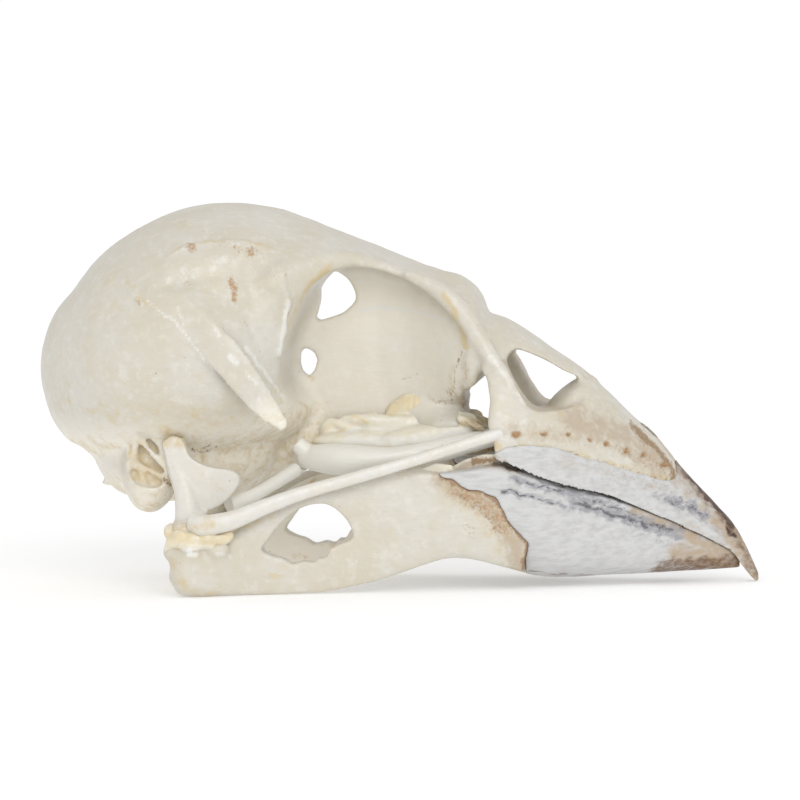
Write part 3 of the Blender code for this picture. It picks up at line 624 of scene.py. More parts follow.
boneMarks = ("paleAndHighlight", "warmAndShade", "tanAndShade", "rust", "stainAndShadow")
craniumMarks = {
    "hollow": ((-9.2, 14.9), (-7.64, 15.2), (-6.42, 15.2), (-5.33, 14.95), (-4.7, 14.6), (-4.5, 13.2),
        (-4.8, 11.0), (-5.6, 10.2), (-6.9, 11.9), (-8.6, 12.9), (-10.4, 13.3)),
    "hollowDepth": 0.36,
    "hollowSoft": 1.2,
    # height, scale and seed of the noise in the surface
    "grains": ((0.03, 0.55, 1), (0.014, 1.9, 2)),
    # where each zone starts and how far on it is full; outer, ear and eye go by the distance aside
    "zones": {"outer": (3.6, 0.6), "ear": (3.8, 0.4), "earDeep": (5.0, -0.25), "eye": (4.4, -1.2),
        "eyeTop": (10.5, 3.0), "below": (8.0, -1.5), "belowFront": (4.0, -1.0), "baseRise": (-8.0, 3.0),
        "baseFront": (-2.5, -1.0), "baseRear": (-11.5, 2.0), "behindBill": (4.2, -1.0)},
    # height the shaded base reaches at the rear, and how much higher at the front
    "baseLevel": (7.3, 1.8),
    # how far a surface has to face aside to take painted lines
    "facing": (0.1, 0.25),
    # small holes in the ear hollow, painted as tan spots of shade
    "earHoleShade": [(((-11.26, 6.88), (-11.15, 6.8)), 0.35, 0.9), (((-11.05, 6.35), (-10.9, 6.2)), 0.35, 0.7),
        (((-10.8, 5.7), (-10.6, 5.6)), 0.35, 0.7), (((-9.95, 5.0), (-9.8, 4.9)), 0.3, 1.0)],
    # raised lines on the outside: line, width and height
    "ridges": [(((-9.5, 14.7), (-8.61, 15.22), (-7.64, 15.34), (-6.42, 15.33), (-5.33, 15.1), (-4.68, 14.7),
        (-4.47, 14.13), (-4.4, 13.3)), 0.2, 0.07), (((-4.27, 13.13), (-4.41, 12.26), (-4.56, 11.39),
        (-4.7, 10.52)), 0.2, 0.12), (((-11.3, 13.9), (-10.65, 13.1), (-9.87, 12.62), (-9.3, 12.3)), 0.3,
        0.08), (((-14.06, 9.08), (-13.94, 7.98), (-13.87, 7.1)), 0.3, 0.06)],
    "outside": {
        # paler bone, and painted highlights along the ridges, the rib and the blade's edges
        "paleAndHighlight": [(((-9.3, 14.8), (-8.61, 15.22), (-7.64, 15.34), (-6.42, 15.33), (-5.33, 15.1),
            (-4.68, 14.7)), 0.16, 0.45), (((-4.3, 12.9), (-4.45, 12.1), (-4.56, 11.39), (-4.7, 10.52)), 0.2,
            0.9), (((-10.3, 13.0), (-8.9, 11.93), (-7.96, 10.75), (-7.4, 10.0)), 0.16, 0.8), (((-6.0, 10.9),
            (-4.93, 9.16), (-3.95, 7.45)), 0.16, 0.9), (((-5.0, 7.7), (-4.2, 7.2)), 0.18, 0.7),
            (((-8.9, 12.7), (-8.6, 12.0)), 0.22, 0.6), (((-5.9, 9.9), (-5.5, 9.4)), 0.22, 0.8),
            (((-9.4, 13.9), (-8.4, 14.3), (-7.0, 14.7)), 0.5, 0.5), (((-7.3, 11.9), (-7.1, 11.5)), 0.25,
            0.7), (((-6.6, 10.6), (-6.3, 10.3)), 0.3, 0.9), (((-5.4, 8.7), (-5.2, 8.3)), 0.25, 0.7),
            (((-11.2, 10.0), (-8.8, 8.4)), 1.6, 0.3), (((-8.0, 6.9), (-6.6, 6.6)), 0.8, 0.4),
            (((-7.6, 13.6), (-6.5, 12.6)), 0.8, 0.35)],
        "warmAndShade": [(((-9.3, 14.9), (-8.6, 15.3), (-6.4, 15.42), (-4.9, 15.0)), 0.2, 0.8), (((-2.4, 14.35),
            (-3.37, 13.4), (-3.77, 12.61), (-4.09, 11.87), (-4.4, 11.2)), 0.32, 0.95), (((-11.3, 13.9),
            (-10.65, 13.1), (-9.87, 12.62)), 0.3, 0.7), (((-14.1, 9.2), (-13.94, 7.98), (-13.87, 7.0)), 0.3,
            0.6), (((-13.2, 6.6), (-12.0, 5.2)), 0.9, 0.35), (((-8.8, 7.0), (-7.2, 5.6)), 0.9, 0.35),
            (((-4.9, 9.4), (-4.6, 7.6)), 0.5, 0.45), (((-9.9, 7.3), (-9.0, 6.9)), 0.6, 0.7),
            (((-4.75, 6.77), (-4.99, 5.59), (-5.48, 4.93), (-6.19, 4.32), (-6.47, 3.84)), 0.4, 0.7),
            (((-12.6, 8.5), (-12.2, 7.0)), 0.7, 0.35), (((-12.5, 7.8), (-9.5, 8.0), (-6.5, 7.4)), 1.8,
            0.45), (((-12.5, 14.2), (-11.0, 15.2)), 0.8, 0.25)],
        "rust": [(((-8.6, 15.3), (-8.4, 15.2)), 0.34, 0.9), (((-6.55, 15.25), (-6.4, 15.1)), 0.26, 0.6),
            (((-5.95, 15.05), (-5.8, 14.95)), 0.32, 0.9), (((-6.6, 14.0), (-6.45, 13.6), (-6.35, 13.1)),
            0.32, 0.9), (((-4.8, 13.95), (-4.65, 13.85)), 0.22, 0.62), (((-8.7, 13.95), (-8.5, 13.9)), 0.24,
            0.5), (((-7.2, 15.3), (-6.9, 15.3)), 0.24, 0.45), (((-4.35, 12.3), (-4.3, 12.1)), 0.2, 0.5),
            (((-12.0, 15.1), (-11.6, 15.3)), 0.35, 0.42), (((-10.75, 12.95), (-10.6, 12.85)), 0.2, 0.6)],
        "stainAndShadow": [(((-8.66, 6.31), (-8.22, 6.13), (-7.6, 6.39)), 0.13, 1.0), (((-8.3, 6.2), (-7.8, 6.6)),
            0.1, 0.7), (((-9.8, 5.0), (-9.6, 4.85)), 0.22, 1.0), (((-5.9, 11.95), (-5.85, 11.9)), 0.1,
            0.8)]},
    "inEye": {
        # the first line is a painted highlight along the ridge across the wall between the eyes
        "paleAndHighlight": [(((-2.23, 11.98), (-0.68, 12.19), (1.08, 12.0), (2.18, 11.73)), 0.22, 0.8), (((-2.5, 11.2),
            (0.0, 10.4)), 1.2, 0.35)],
        "warmAndShade": [(((2.35, 12.95), (2.61, 12.57), (2.95, 11.78), (3.33, 10.6)), 0.34, 1.0), (((-3.9, 9.2),
            (-3.6, 9.1)), 0.35, 0.8), (((2.5, 9.6), (2.9, 8.2)), 0.55, 0.5), (((-3.4, 7.4), (-1.0, 7.2),
            (1.0, 7.4)), 0.55, 0.45), (((3.0, 7.5), (3.5, 7.1)), 0.45, 0.9)],
        "tanAndShade": [(((3.3, 10.3), (3.2, 9.4), (3.05, 8.4)), 0.4, 0.6), (((1.6, 8.2), (2.9, 8.1)), 0.5, 0.45)],
        "rust": [(((2.5, 8.6), (2.9, 8.3), (3.1, 7.8)), 0.4, 0.55), (((3.25, 9.7), (3.35, 9.2)), 0.3, 0.5)],
        "stainAndShadow": [(((3.13, 10.49), (2.9, 9.79), (2.76, 9.22), (2.52, 8.17)), 0.11, 0.6), (((-0.29, 8.88),
            (0.38, 9.05), (1.04, 9.31)), 0.08, 0.5), (((1.7, 8.2), (2.5, 8.0)), 0.3, 0.45)]},
}


def markCranium(co, normal, side, look, shape):
    x, aside, z = co[:, 0], np.abs(co[:, 1]), co[:, 2]
    zones = look["zones"]
    outer = rise(aside, *zones["outer"])
    hollowIn = np.where(inside(side, look["hollow"]), 1.0, -1.0)
    depth = rise(hollowIn * reach(side, look["hollow"] + look["hollow"][:1]), 0.0, look["hollowSoft"])
    move = -look["hollowDepth"] * depth * depth * (3 - 2 * depth)
    for line, width, height in look["ridges"]:
        move += height * fade(reach(side, curveOf(line, 5)), width)
    move = move * outer + bumps(co, *look["grains"])
    marks = {"move": move * rise(x, *zones["behindBill"])}
    facing = rise(np.abs(normal[:, 1]), *look["facing"])
    for name in boneMarks:
        marks[name] = facing * np.maximum(lineMark(side, look["outside"].get(name, [])) * outer,
                                          lineMark(side, look["inEye"].get(name, [])) * (1 - outer))
    ear = inside(side, shape["ear"]) * rise(aside, *zones["ear"])
    deep = ear * rise(aside, *zones["earDeep"])
    fromRim = reach(side, loopOf(shape["orbit"], 4))
    eye = inside(side, shape["orbit"]) * rise(fromRim, 0.0, 0.5) * rise(aside, *zones["eye"])
    # painted light: the eye hollow takes the paler colour against its shade, more towards the roof
    shaded = eye * (0.55 + 0.45 * rise(z, *zones["eyeTop"]))
    # surfaces facing down and the shaded base under the braincase take painted light and a yellow painted
    # shade
    below = np.clip(-normal[:, 2] * 1.3, 0, 1) * rise(z, *zones["below"]) * rise(x, *zones["belowFront"])
    level = look["baseLevel"][0] + look["baseLevel"][1] * rise(x, *zones["baseRise"])
    base = rise(z, level, -1.4) * rise(x, *zones["baseFront"]) * rise(x, *zones["baseRear"])
    marks["inner"] = np.maximum(np.maximum(shaded, below), np.maximum(deep * 0.8, base))
    # a yellower ear hollow, and the yellow painted shade on the underside and base
    strengthen(marks, "warmAndShade", ear * 0.45 + deep * 0.45, np.maximum(below, base) * 0.62)
    # painted shade of the ear's small holes
    strengthen(marks, "tanAndShade", lineMark(side, look["earHoleShade"]) * deep)
    return marks


# upper bill: bone and horn

upperBill = {
    "coreFuse": (0.075, 0),
    "boneFuse": (0.075, 3),
    "hornFuse": (0.06, 2),
    "halfWidth": 4.75,
    # x, culmen, cutting edge, share of the half width
    "sections": ((4.0, 11.95, 5.9, 0.97), (4.8, 11.7, 5.6, 1.0), (5.9, 11.05, 5.1, 0.97),
        (6.8, 10.38, 4.7, 0.92), (8.1, 9.5, 4.3, 0.82), (9.4, 8.3, 3.95, 0.69), (10.4, 7.3, 3.55, 0.58),
        (11.3, 6.55, 3.1, 0.49), (12.6, 4.92, 2.5, 0.35), (13.9, 3.5, 1.8, 0.215), (14.7, 2.6, 1.3, 0.14),
        (15.2, 1.75, 0.6, 0.1), (15.65, 0.75, 0.06, 0.07), (15.82, 0.35, 0.0, 0.03)),
    "palateRise": 0.4,
    "edgeSquare": 0.4,
    "culmenRound": 0.95,
    "rear": ((3.0, 13.0), (4.1, 12.5), (3.9, 11.0), (3.9, 9.7), (4.25, 9.3), (4.42, 8.3), (4.3, 7.3),
        (4.6, 6.4), (4.6, 5.0), (3.0, 5.0)),
    "nostril": ((4.98, 10.0), (5.2, 10.3), (5.55, 10.42), (6.6, 9.97), (7.5, 9.42), (8.5, 8.9),
        (8.42, 8.35), (8.15, 8.0), (7.1, 7.83), (6.22, 7.92), (5.55, 8.9)),
    "chamber": ((5.0, 0.0, 8.9), (1.9, 2.7, 1.5)),
    "nostrilSill": ((7.64, 0.0, 7.98), (1.55, 2.4, 0.7), -41.0),
    "hornBorder": ((4.4, 5.85), (4.95, 6.22), (5.9, 6.38), (7.35, 6.22), (8.1, 5.9), (9.4, 5.45),
        (10.8, 4.95), (11.9, 4.6), (12.3, 4.75), (12.2, 5.3), (11.9, 5.85), (11.3, 6.5), (10.65, 7.1),
        (10.3, 7.7)),
    # how far the border wanders, how often, and its seed; the corners that close it round the horn
    "ragged": (0.07, 2.2, 3.0),
    "corners": ((17.0, 7.7), (17.0, -1.0), (4.2, -1.0)),
    "coreInset": 0.16,
    "coreEnd": 12.7,
}


def raggedLine(line, size, scale, seed):
    # a smooth line roughened sideways
    dense = curveOf(line, 10)
    ahead = np.gradient(dense, axis=0)
    ahead /= np.linalg.norm(ahead, axis=1)[:, None]
    bend = np.array([noise.noise(Vector((x * scale, z * scale, seed))) for x, z in dense]) * size
    return dense + np.stack((-ahead[:, 1], ahead[:, 0]), 1) * bend[:, None]


def upperJawForm(look, inset=0.0, xEnd=20.0):
    rows = [(x, top - inset, edge + inset, edge + look["palateRise"] * share + inset,
             max(look["halfWidth"] * share - inset, 0.05))
            for x, top, edge, share in look["sections"] if x < xEnd]
    return sectionForm(rows, 144, 110, look["culmenRound"], look["edgeSquare"])


def hornSide(look):
    # all that lies on the horn's side of its ragged border
    border = raggedLine(look["hornBorder"], *look["ragged"])
    return slabForm(np.vstack((border, look["corners"])), 0.0, cutHalf)


def makeUpperBill(look):
    bone = pieceOf("billBone", [upperJawForm(look)])
    cutForms(bone, [hornSide(look)])
    joinForms(bone, pieceOf("core", [upperJawForm(look, look["coreInset"], look["coreEnd"])]))
    fuseForms(bone, *look["coreFuse"])
    through = [slabForm(loop, 0.0, cutHalf) for loop in (look["rear"], loopOf(look["nostril"])[:-1])]
    for cutter in through + [ballForm(*look["chamber"])]:
        cutForms(bone, [cutter])
    joinForms(bone, pieceOf("sill", [ballForm(*look["nostrilSill"])]))
    fuseForms(bone, *look["boneFuse"])
    horn = pieceOf("upperHorn", [upperJawForm(look)])
    cutForms(horn, [hornSide(look)], "INTERSECT")
    fuseForms(horn, *look["hornFuse"])
    return bone, horn


billBone, upperHorn = makeUpperBill(upperBill)
joinForms(craniumBone, billBone)
craniumBone.name = "skullBone"
fuseForms(craniumBone, *cranium["skullFuse"])


billMarks = {
    "pits": ((5.59, 6.88, 2.0), (6.77, 6.87, 1.7), (7.82, 6.78, 1.0), (8.73, 6.55, 1.0), (9.43, 6.33, 1.0),
        (10.30, 5.97, 1.1), (10.96, 5.79, 1.1), (11.82, 5.30, 1.3)),
    "pitDepth": 0.2,
    "pitRadius": 0.2,
    "facing": (0.1, 0.3),
    "grain": (0.02, 1.3, 5),
    # as on the cranium; pits and flank go by the distance aside
    "zones": {"front": (3.4, 1.0), "pits": (0.8, 0.4), "flank": (0.5, 0.6), "ridge": (9.6, 1.6),
        "inner": (10.5, -1.0)},
    # the first line is a painted highlight along the band behind the nostril
    "paleAndHighlight": [(((3.10, 12.32), (3.53, 11.79), (3.83, 11.09), (4.22, 10.43), (4.65, 9.90), (5.29, 9.06),
        (5.9, 8.3)), 0.4, 0.6), (((5.6, 11.0), (7.2, 10.0), (9.0, 8.7)), 0.4, 0.5), (((5.0, 7.6),
        (7.0, 7.2)), 0.5, 0.35)],
    "warmAndShade": [(((5.4, 6.9), (7.8, 6.75), (10.3, 6.0), (11.9, 5.2)), 0.45, 0.4), (((4.6, 6.0), (5.9, 6.38),
        (8.1, 5.95), (10.8, 5.0), (12.0, 4.65)), 0.3, 0.8), (((4.3, 6.6), (4.9, 6.3), (5.0, 5.9)), 0.4,
        0.9), (((7.2, 7.6), (8.6, 8.1)), 0.35, 0.5)],
    "tanAndShade": [(((8.0, 7.4), (10.4, 6.3), (11.8, 5.2)), 1.5, 0.85), (((5.2, 7.0), (9.0, 6.4)), 1.1, 0.62),
        (((10.5, 7.5), (11.5, 6.4), (12.4, 5.2)), 0.5, 0.7), (((5.0, 7.4), (6.2, 7.6)), 0.5, 0.45),
        (((9.6, 8.0), (10.8, 6.8), (12.0, 5.5)), 0.7, 0.6), (((5.4, 6.6), (9.4, 5.8)), 0.5, 0.35)],
    "rust": [(((9.5, 6.2), (11.8, 5.2)), 0.4, 0.35)],
    # the first line is a painted shadow under the raised edge of the horn at the culmen; the others are
    # stains
    "stainAndShadow": [(((10.3, 7.35), (10.85, 6.55), (11.7, 5.75), (12.2, 5.0), (12.15, 4.6)), 0.3, 1.0),
        (((4.7, 6.05), (5.9, 6.36), (8.1, 5.93), (10.8, 4.97), (12.0, 4.6)), 0.1, 0.55), (((9.9, 6.0),
        (11.9, 5.0)), 0.5, 0.35)],
}


def markBill(co, normal, side, look, shape):
    x, aside = co[:, 0], np.abs(co[:, 1])
    zones = look["zones"]
    front = rise(x, *zones["front"])
    pits = np.zeros(len(co))
    for pitX, pitZ, long in look["pits"]:
        away = np.hypot((side[:, 0] - pitX) / long, side[:, 1] - pitZ)
        pits = np.maximum(pits, fade(away, look["pitRadius"]))
    pits *= rise(aside, *zones["pits"]) * front
    # painted shade: the nostril's rim walls, facing up or down, are darkened to tan and yellow
    rim = fade(reach(side, loopOf(shape["nostril"])), 0.5)
    nostrilWallShade = rim * np.clip(1.2 - np.abs(normal[:, 1]) * 1.6, 0, 1)
    marks = {"move": -look["pitDepth"] * pits + bumps(co, look["grain"]) * front}
    facing = rise(np.abs(normal[:, 1]), *look["facing"])
    for name in boneMarks:
        marks[name] = lineMark(side, look[name]) * front * facing
    for name in ("tanAndShade", "stainAndShadow"):
        marks[name] *= 0.35 + 0.65 * rise(aside, *zones["flank"])
    ridge = np.clip(1.3 - aside / 0.6, 0, 1) * rise(x, *zones["ridge"]) * np.clip(normal[:, 2] * 2, 0, 1)
    # pits get yellow, tan, rust and stain; the nostril's walls get yellow and tan as painted shade
    strengthen(marks, "warmAndShade", np.maximum(pits, nostrilWallShade * 0.7) * front)
    strengthen(marks, "tanAndShade", ridge, np.maximum(pits * 0.9, nostrilWallShade * 0.6) * front)
    strengthen(marks, "rust", np.clip(pits * 2.6 - 0.5, 0, 1.2))
    strengthen(marks, "stainAndShadow", np.clip(pits * 2.0 - 0.8, 0, 1))
    # painted light on the bill's inner faces, which lie in shade
    marks["inner"] = np.clip(-normal[:, 1] * np.sign(co[:, 1]), 0, 1) * front * rise(x, *zones["inner"])
    return marks


def markSkull(piece):
    co, normal = pointsOf(piece)
    side = wander(co)
    rear = markCranium(co, normal, side, craniumMarks, cranium)
    front = markBill(co, normal, side, billMarks, upperBill)
    pushOut(piece, co, normal, rear["move"] + front["move"])
    for name in boneMarks + ("inner",):
        paint(piece, name, np.maximum(rear[name], front[name]))


markSkull(craniumBone)
finishPiece(craniumBone, boneFinish, ["cranium", "upper_bill"])


upperHornMarks = {
    # lines in side view with their widths and strengths
    "grey": [(((11.5, 4.0), (12.0, 3.9)), 0.3, 0.8), (((12.05, 3.8), (12.5, 3.5)), 0.42, 1.35),
        (((12.9, 3.45), (13.5, 3.05)), 0.42, 1.35), (((13.3, 2.9), (14.4, 2.1)), 0.25, 0.6)],
    "crack": [(((12.1, 3.75), (12.5, 3.55)), 0.25, 0.7), (((13.0, 3.35), (13.5, 3.05)), 0.25, 0.7)],
    "brownAndShadow": [(((11.6, 6.1), (12.6, 4.95), (13.3, 4.1), (13.9, 3.4), (14.7, 2.4)), 0.5, 1.0), (((10.2, 7.6),
        (11.3, 6.5), (12.2, 5.3)), 0.25, 0.8), (((14.8, 2.2), (15.3, 1.3), (15.7, 0.3)), 0.6, 0.8),
        # the thin line along the cutting edge is a painted shadow
        (((5.0, 5.5), (7.3, 4.6), (9.4, 3.95), (12.6, 2.5), (14.6, 1.4)), 0.12, 0.7), (((9.8, 4.9),
        (11.2, 4.6), (11.9, 4.2)), 0.45, 0.4)],
    "darkAndShadow": [(((12.8, 4.75), (13.9, 3.5), (14.7, 2.5)), 0.24, 1.1), (((12.3, 5.3), (12.9, 4.65)), 0.16,
        0.5), (((14.5, 2.4), (14.75, 2.0)), 0.26, 1.0)],
    "tanAndShade": [(((10.3, 7.5), (11.4, 6.3), (12.4, 5.2)), 0.6, 1.1), (((14.2, 2.9), (15.0, 1.7), (15.7, 0.2)),
        0.9, 1.4), (((12.3, 4.9), (13.3, 3.8), (14.2, 2.7)), 1.0, 0.85), (((4.6, 5.9), (5.0, 5.75)), 0.35,
        0.8), (((12.6, 2.8), (14.6, 1.6)), 0.5, 0.6), (((7.5, 5.6), (12.0, 4.2), (13.0, 3.0)), 0.9, 0.5)],
}
lowerHornMarks = {
    "grey": [(((5.3, 5.0), (6.5, 4.62), (8.0, 4.17), (9.8, 3.6)), 0.4, 1.0), (((4.9, 4.45), (5.6, 4.28),
        (6.2, 4.1), (7.4, 3.75), (8.6, 3.4)), 0.34, 0.95), (((8.0, 3.9), (9.4, 3.35), (10.4, 3.0),
        (11.3, 2.65), (12.4, 2.25)), 0.6, 1.25), (((10.5, 2.4), (12.6, 1.7)), 0.6, 0.45)],
    "crack": [(((4.9, 4.45), (5.3, 4.42), (5.6, 4.28), (6.2, 4.1)), 0.13, 1.0), (((6.5, 3.98), (7.4, 3.75)),
        0.1, 0.8), (((5.6, 4.9), (6.6, 4.6), (7.6, 4.32)), 0.13, 0.8), (((8.0, 3.8), (8.8, 3.6),
        (9.6, 3.25), (10.4, 2.98), (11.2, 2.7), (12.2, 2.36)), 0.2, 1.0), (((8.8, 3.9), (10.0, 3.4),
        (11.0, 3.05)), 0.12, 0.7)],
    "brownAndShadow": [(((11.6, 0.7), (12.4, 0.8), (13.2, 0.8), (14.2, 0.85), (15.0, 0.9)), 0.75, 1.2),
        (((5.9, 0.75), (9.0, 0.42), (12.3, 0.5), (14.9, 0.7)), 0.14, 0.75), (((4.6, 5.55), (5.8, 5.25)),
        0.3, 0.9), (((12.5, 2.6), (13.8, 1.9), (14.9, 1.3)), 0.2, 0.6)],
    # painted shade in the gap at the rear of the cutting edge, under the bars
    "darkAndShadow": [(((5.1, 5.35), (5.7, 5.25)), 0.14, 0.9)],
    "tanAndShade": [(((10.6, 3.3), (12.3, 2.5), (13.4, 1.8), (14.8, 1.2)), 0.55, 1.2), (((12.4, 1.3), (14.6, 1.0)),
        1.0, 1.2), (((4.2, 5.6), (5.6, 5.3)), 0.4, 0.8)],
}


flaking = {
    "wander": (0.16, 2.8),
    # the grey bands' depth, edge and uneven floor: stretch, scale and seed
    "bandDepth": 0.04,
    "bandEdge": (0.3, 0.2),
    "bandStretch": (0.7, 1.0, 2.2),
    "bandGrain": (3.4, 7),
    "crackDepth": 0.06,
    "fibreStretch": (0.4, 1.0, 1.0),
    "fibreGrain": (0.012, 3.0, 8),
}


def markHorn(piece, marks, look):
    # flaking: the grey bands lie lower than the white horn round them
    co, normal = pointsOf(piece)
    side = wander(co, *look["wander"])
    band, crack = lineMark(side, marks["grey"]), lineMark(side, marks["crack"])
    uneven = 1 + grain(co * look["bandStretch"], *look["bandGrain"])
    step = -look["bandDepth"] * rise(band, *look["bandEdge"]) * uneven - look["crackDepth"] * crack
    pushOut(piece, co, normal, step + bumps(co * look["fibreStretch"], look["fibreGrain"]))
    layMarks(piece, side, marks)


markHorn(upperHorn, upperHornMarks, flaking)
finishPiece(upperHorn, hornFinish, ["upper_sheath"])


# lower jaw: bone and horn

lowerJaw = {
    "boneFuse": (0.085, 2),
    "hornFuse": (0.065, 2),
    # x, cutting edge, underside, half width
    "sections": ((1.0, 5.35, 1.1, 4.85), (2.0, 5.35, 1.4, 4.8), (3.3, 5.4, 1.4, 4.68),
        (4.6, 5.6, 1.0, 4.55), (5.8, 5.25, 0.45, 4.38), (7.3, 4.66, 0.34, 3.98), (9.0, 4.16, 0.4, 3.32),
        (10.6, 3.55, 0.44, 2.6), (12.3, 2.74, 0.5, 1.68), (13.8, 1.92, 0.55, 0.92), (14.6, 1.46, 0.6, 0.48),
        (15.0, 1.2, 0.62, 0.2)),
    "widest": 0.92,
    "ramusSquare": 0.75,
    "grain": (0.02, 1.1, 9),
    "windowCut": (-5.2, 2.0),
    "edgeSquare": 0.4,
    "keelSquare": 0.52,
    # x, distance aside, half thickness, top, underside
    "ramus": ((-9.55, 5.75, 0.5, 2.0, 1.55), (-9.4, 5.75, 0.95, 2.3, 0.6), (-9.15, 5.75, 1.2, 2.4, 0.1),
        (-8.65, 5.75, 1.35, 2.4, 0.0), (-7.7, 5.65, 1.1, 2.4, 0.0), (-6.7, 5.5, 0.75, 2.85, 0.0),
        (-5.7, 5.35, 0.5, 3.6, 0.0), (-4.6, 5.2, 0.42, 4.25, 0.0), (-3.0, 4.95, 0.42, 4.75, 0.05),
        (-1.3, 4.7, 0.42, 5.1, 0.35), (0.1, 4.55, 0.45, 5.3, 0.72), (1.4, 4.4, 0.48, 5.4, 1.15),
        (2.4, 4.2, 0.55, 5.25, 1.42), (3.4, 4.02, 0.63, 5.05, 1.4), (4.6, 3.85, 0.65, 4.9, 1.1),
        (5.9, 3.65, 0.65, 4.6, 0.72)),
    "window": ((-5.6, 2.0), (-4.75, 3.1), (-3.9, 3.75), (-2.8, 3.95), (-1.9, 3.3), (-1.6, 2.5),
        (-2.3, 2.15), (-2.6, 1.95), (-2.8, 1.6), (-3.1, 1.62), (-3.3, 1.4), (-3.7, 1.5), (-4.2, 1.36),
        (-4.6, 1.6), (-5.1, 1.75)),
    "knobs": (((-9.35, -5.9, 1.95), (0.48, 0.8, 0.42)), ((-8.5, -6.7, 1.95), (0.45, 0.5, 0.4)),
        ((-7.4, -6.5, 2.1), (0.55, 0.45, 0.4)), ((-9.2, -5.9, 0.9), (0.4, 0.8, 0.5))),
    "innerProcess": ((-8.9, -5.2, 1.6), (-8.7, -4.0, 1.7), (-8.6, -3.4, 1.8)),
    "innerProcessRadii": (0.65, 0.45, 0.25),
    "hornBorder": ((2.1, 5.8), (2.35, 5.1), (3.5, 4.55), (4.6, 4.1), (5.1, 3.2), (5.75, 2.35), (6.0, 2.05),
        (5.8, 1.2), (5.7, -0.5)),
    "ragged": (0.16, 1.6, 8.0),
    "corners": ((17.0, -0.5), (17.0, 5.85)),
    # the hollow between the jaw's halves, and its gap round the core
    "troughHalf": 3.1,
    "coreGap": 0.05,
    "troughLevels": (9.0, 3.0, -3.0),
    "troughSquare": 0.5,
    "troughEnd": 8.3,
    "coreInset": 0.45,
    # how far the chin, its core and the horn reach forward
    "chinEnd": 9.0,
    "coreEnd": 12.3,
    "hornEnd": 15.0,
}


def lowerJawForm(look, inset, xEnd):
    rows = []
    for x, edge, under, half in look["sections"]:
        if x <= xEnd:
            top, bottom = edge - inset, under + inset
            rows.append((x, top, bottom + look["widest"] * (top - bottom), bottom, max(half - inset, 0.06)))
    return sectionForm(rows, 144, 100, look["edgeSquare"], look["keelSquare"])


def troughForm(look, half):
    tip = look["troughEnd"] - look["troughHalf"] + half
    rows = []
    for step in range(10):
        share = step / 9
        rows.append((tip * share, *look["troughLevels"], half * math.sqrt(max(1 - share ** 3, 0.002))))
    return sectionForm(rows, 48, 40, look["troughSquare"], look["troughSquare"])


def makeLowerJaw(look):
    def ramusPlace(share, cosA, sinA):
        x, y, half, top, under = rowsAt(look["ramus"], share).T
        z = (top + under) / 2 + (top - under) / 2 * squared(sinA, look["ramusSquare"])
        return np.stack((x, -y + half * squared(cosA, look["ramusSquare"]), np.maximum(z, 0.0)), 1)

    sides = [skin(ramusPlace, 64, 120), rodForm(look["innerProcess"], look["innerProcessRadii"])]
    rami = pieceOf("jawBone", bothSides(sides + [ballForm(*knob) for knob in look["knobs"]]))
    fuseForms(rami, *look["boneFuse"])
    cutForms(rami, bothSides([slabForm(loopOf(look["window"])[:-1], *look["windowCut"])]))
    chin = pieceOf("chin", [lowerJawForm(look, 0.0, look["chinEnd"])])
    cutForms(chin, [troughForm(look, look["troughHalf"])])
    core = pieceOf("core", [lowerJawForm(look, look["coreInset"], look["coreEnd"])])
    cutForms(core, [troughForm(look, look["troughHalf"] + look["coreGap"])])
    joinForms(rami, chin)
    fuseForms(rami, *look["boneFuse"])
    cutForms(rami, [hornSide(look)])
    joinForms(rami, core)
    fuseForms(rami, *look["boneFuse"])
    horn = pieceOf("lowerHorn", [lowerJawForm(look, 0.0, look["hornEnd"])])
    cutForms(horn, [troughForm(look, look["troughHalf"])])
    cutForms(horn, [hornSide(look)], "INTERSECT")
    fuseForms(horn, *look["hornFuse"])
    return rami, horn


jawBone, lowerHorn = makeLowerJaw(lowerJaw)


jawMarks = {
    "stainAndShadow": [(((2.4, 5.05), (3.6, 4.5), (4.65, 4.05), (5.15, 3.2), (5.8, 2.35), (6.0, 2.0), (5.8, 1.0)),
        0.3, 1.2), (((3.4, 4.0), (4.3, 3.3), (4.8, 2.6)), 0.5, 0.5), (((3.0, 4.3), (3.3, 4.1)), 0.25, 0.7)],
    "rust": [(((2.9, 4.5), (3.9, 4.0), (4.6, 3.5), (4.9, 2.8)), 0.8, 0.62), (((3.3, 3.0), (3.6, 2.6)), 0.5,
        0.45)],
    "tanAndShade": [(((2.4, 4.9), (3.8, 4.1), (4.9, 3.1), (5.5, 1.8), (5.6, 1.0)), 1.1, 0.95)],
    "warmAndShade": [(((2.6, 4.6), (3.8, 3.6), (4.8, 2.6), (5.3, 1.6)), 1.3, 0.6), (((-9.4, 1.6), (-9.0, 0.8),
        (-8.4, 0.2), (-7.4, 0.1)), 0.5, 0.75), (((-9.4, 2.4), (-8.2, 2.3), (-7.2, 2.6)), 0.5, 0.8),
        (((-5.2, 0.8), (-4.6, 0.85)), 0.3, 0.7), (((-5.3, 1.5), (-4.4, 1.2), (-3.3, 1.3)), 0.3, 0.4),
        (((-7.0, 2.7), (-5.4, 3.4), (-4.0, 4.3)), 0.35, 0.6), (((-6.0, 0.0), (-3.0, 0.1), (0.0, 0.6)), 0.3,
        0.4)],
    # the first line is a painted glint on the jaw joint
    "paleAndHighlight": [(((-8.6, 2.0), (-8.3, 1.95)), 0.25, 0.9), (((-7.3, 1.9), (-6.9, 1.8)), 0.3, 0.6),
        (((-6.6, 3.0), (-5.0, 4.2)), 0.35, 0.5), (((-2.0, 1.2), (1.0, 2.0)), 0.9, 0.35)],
}


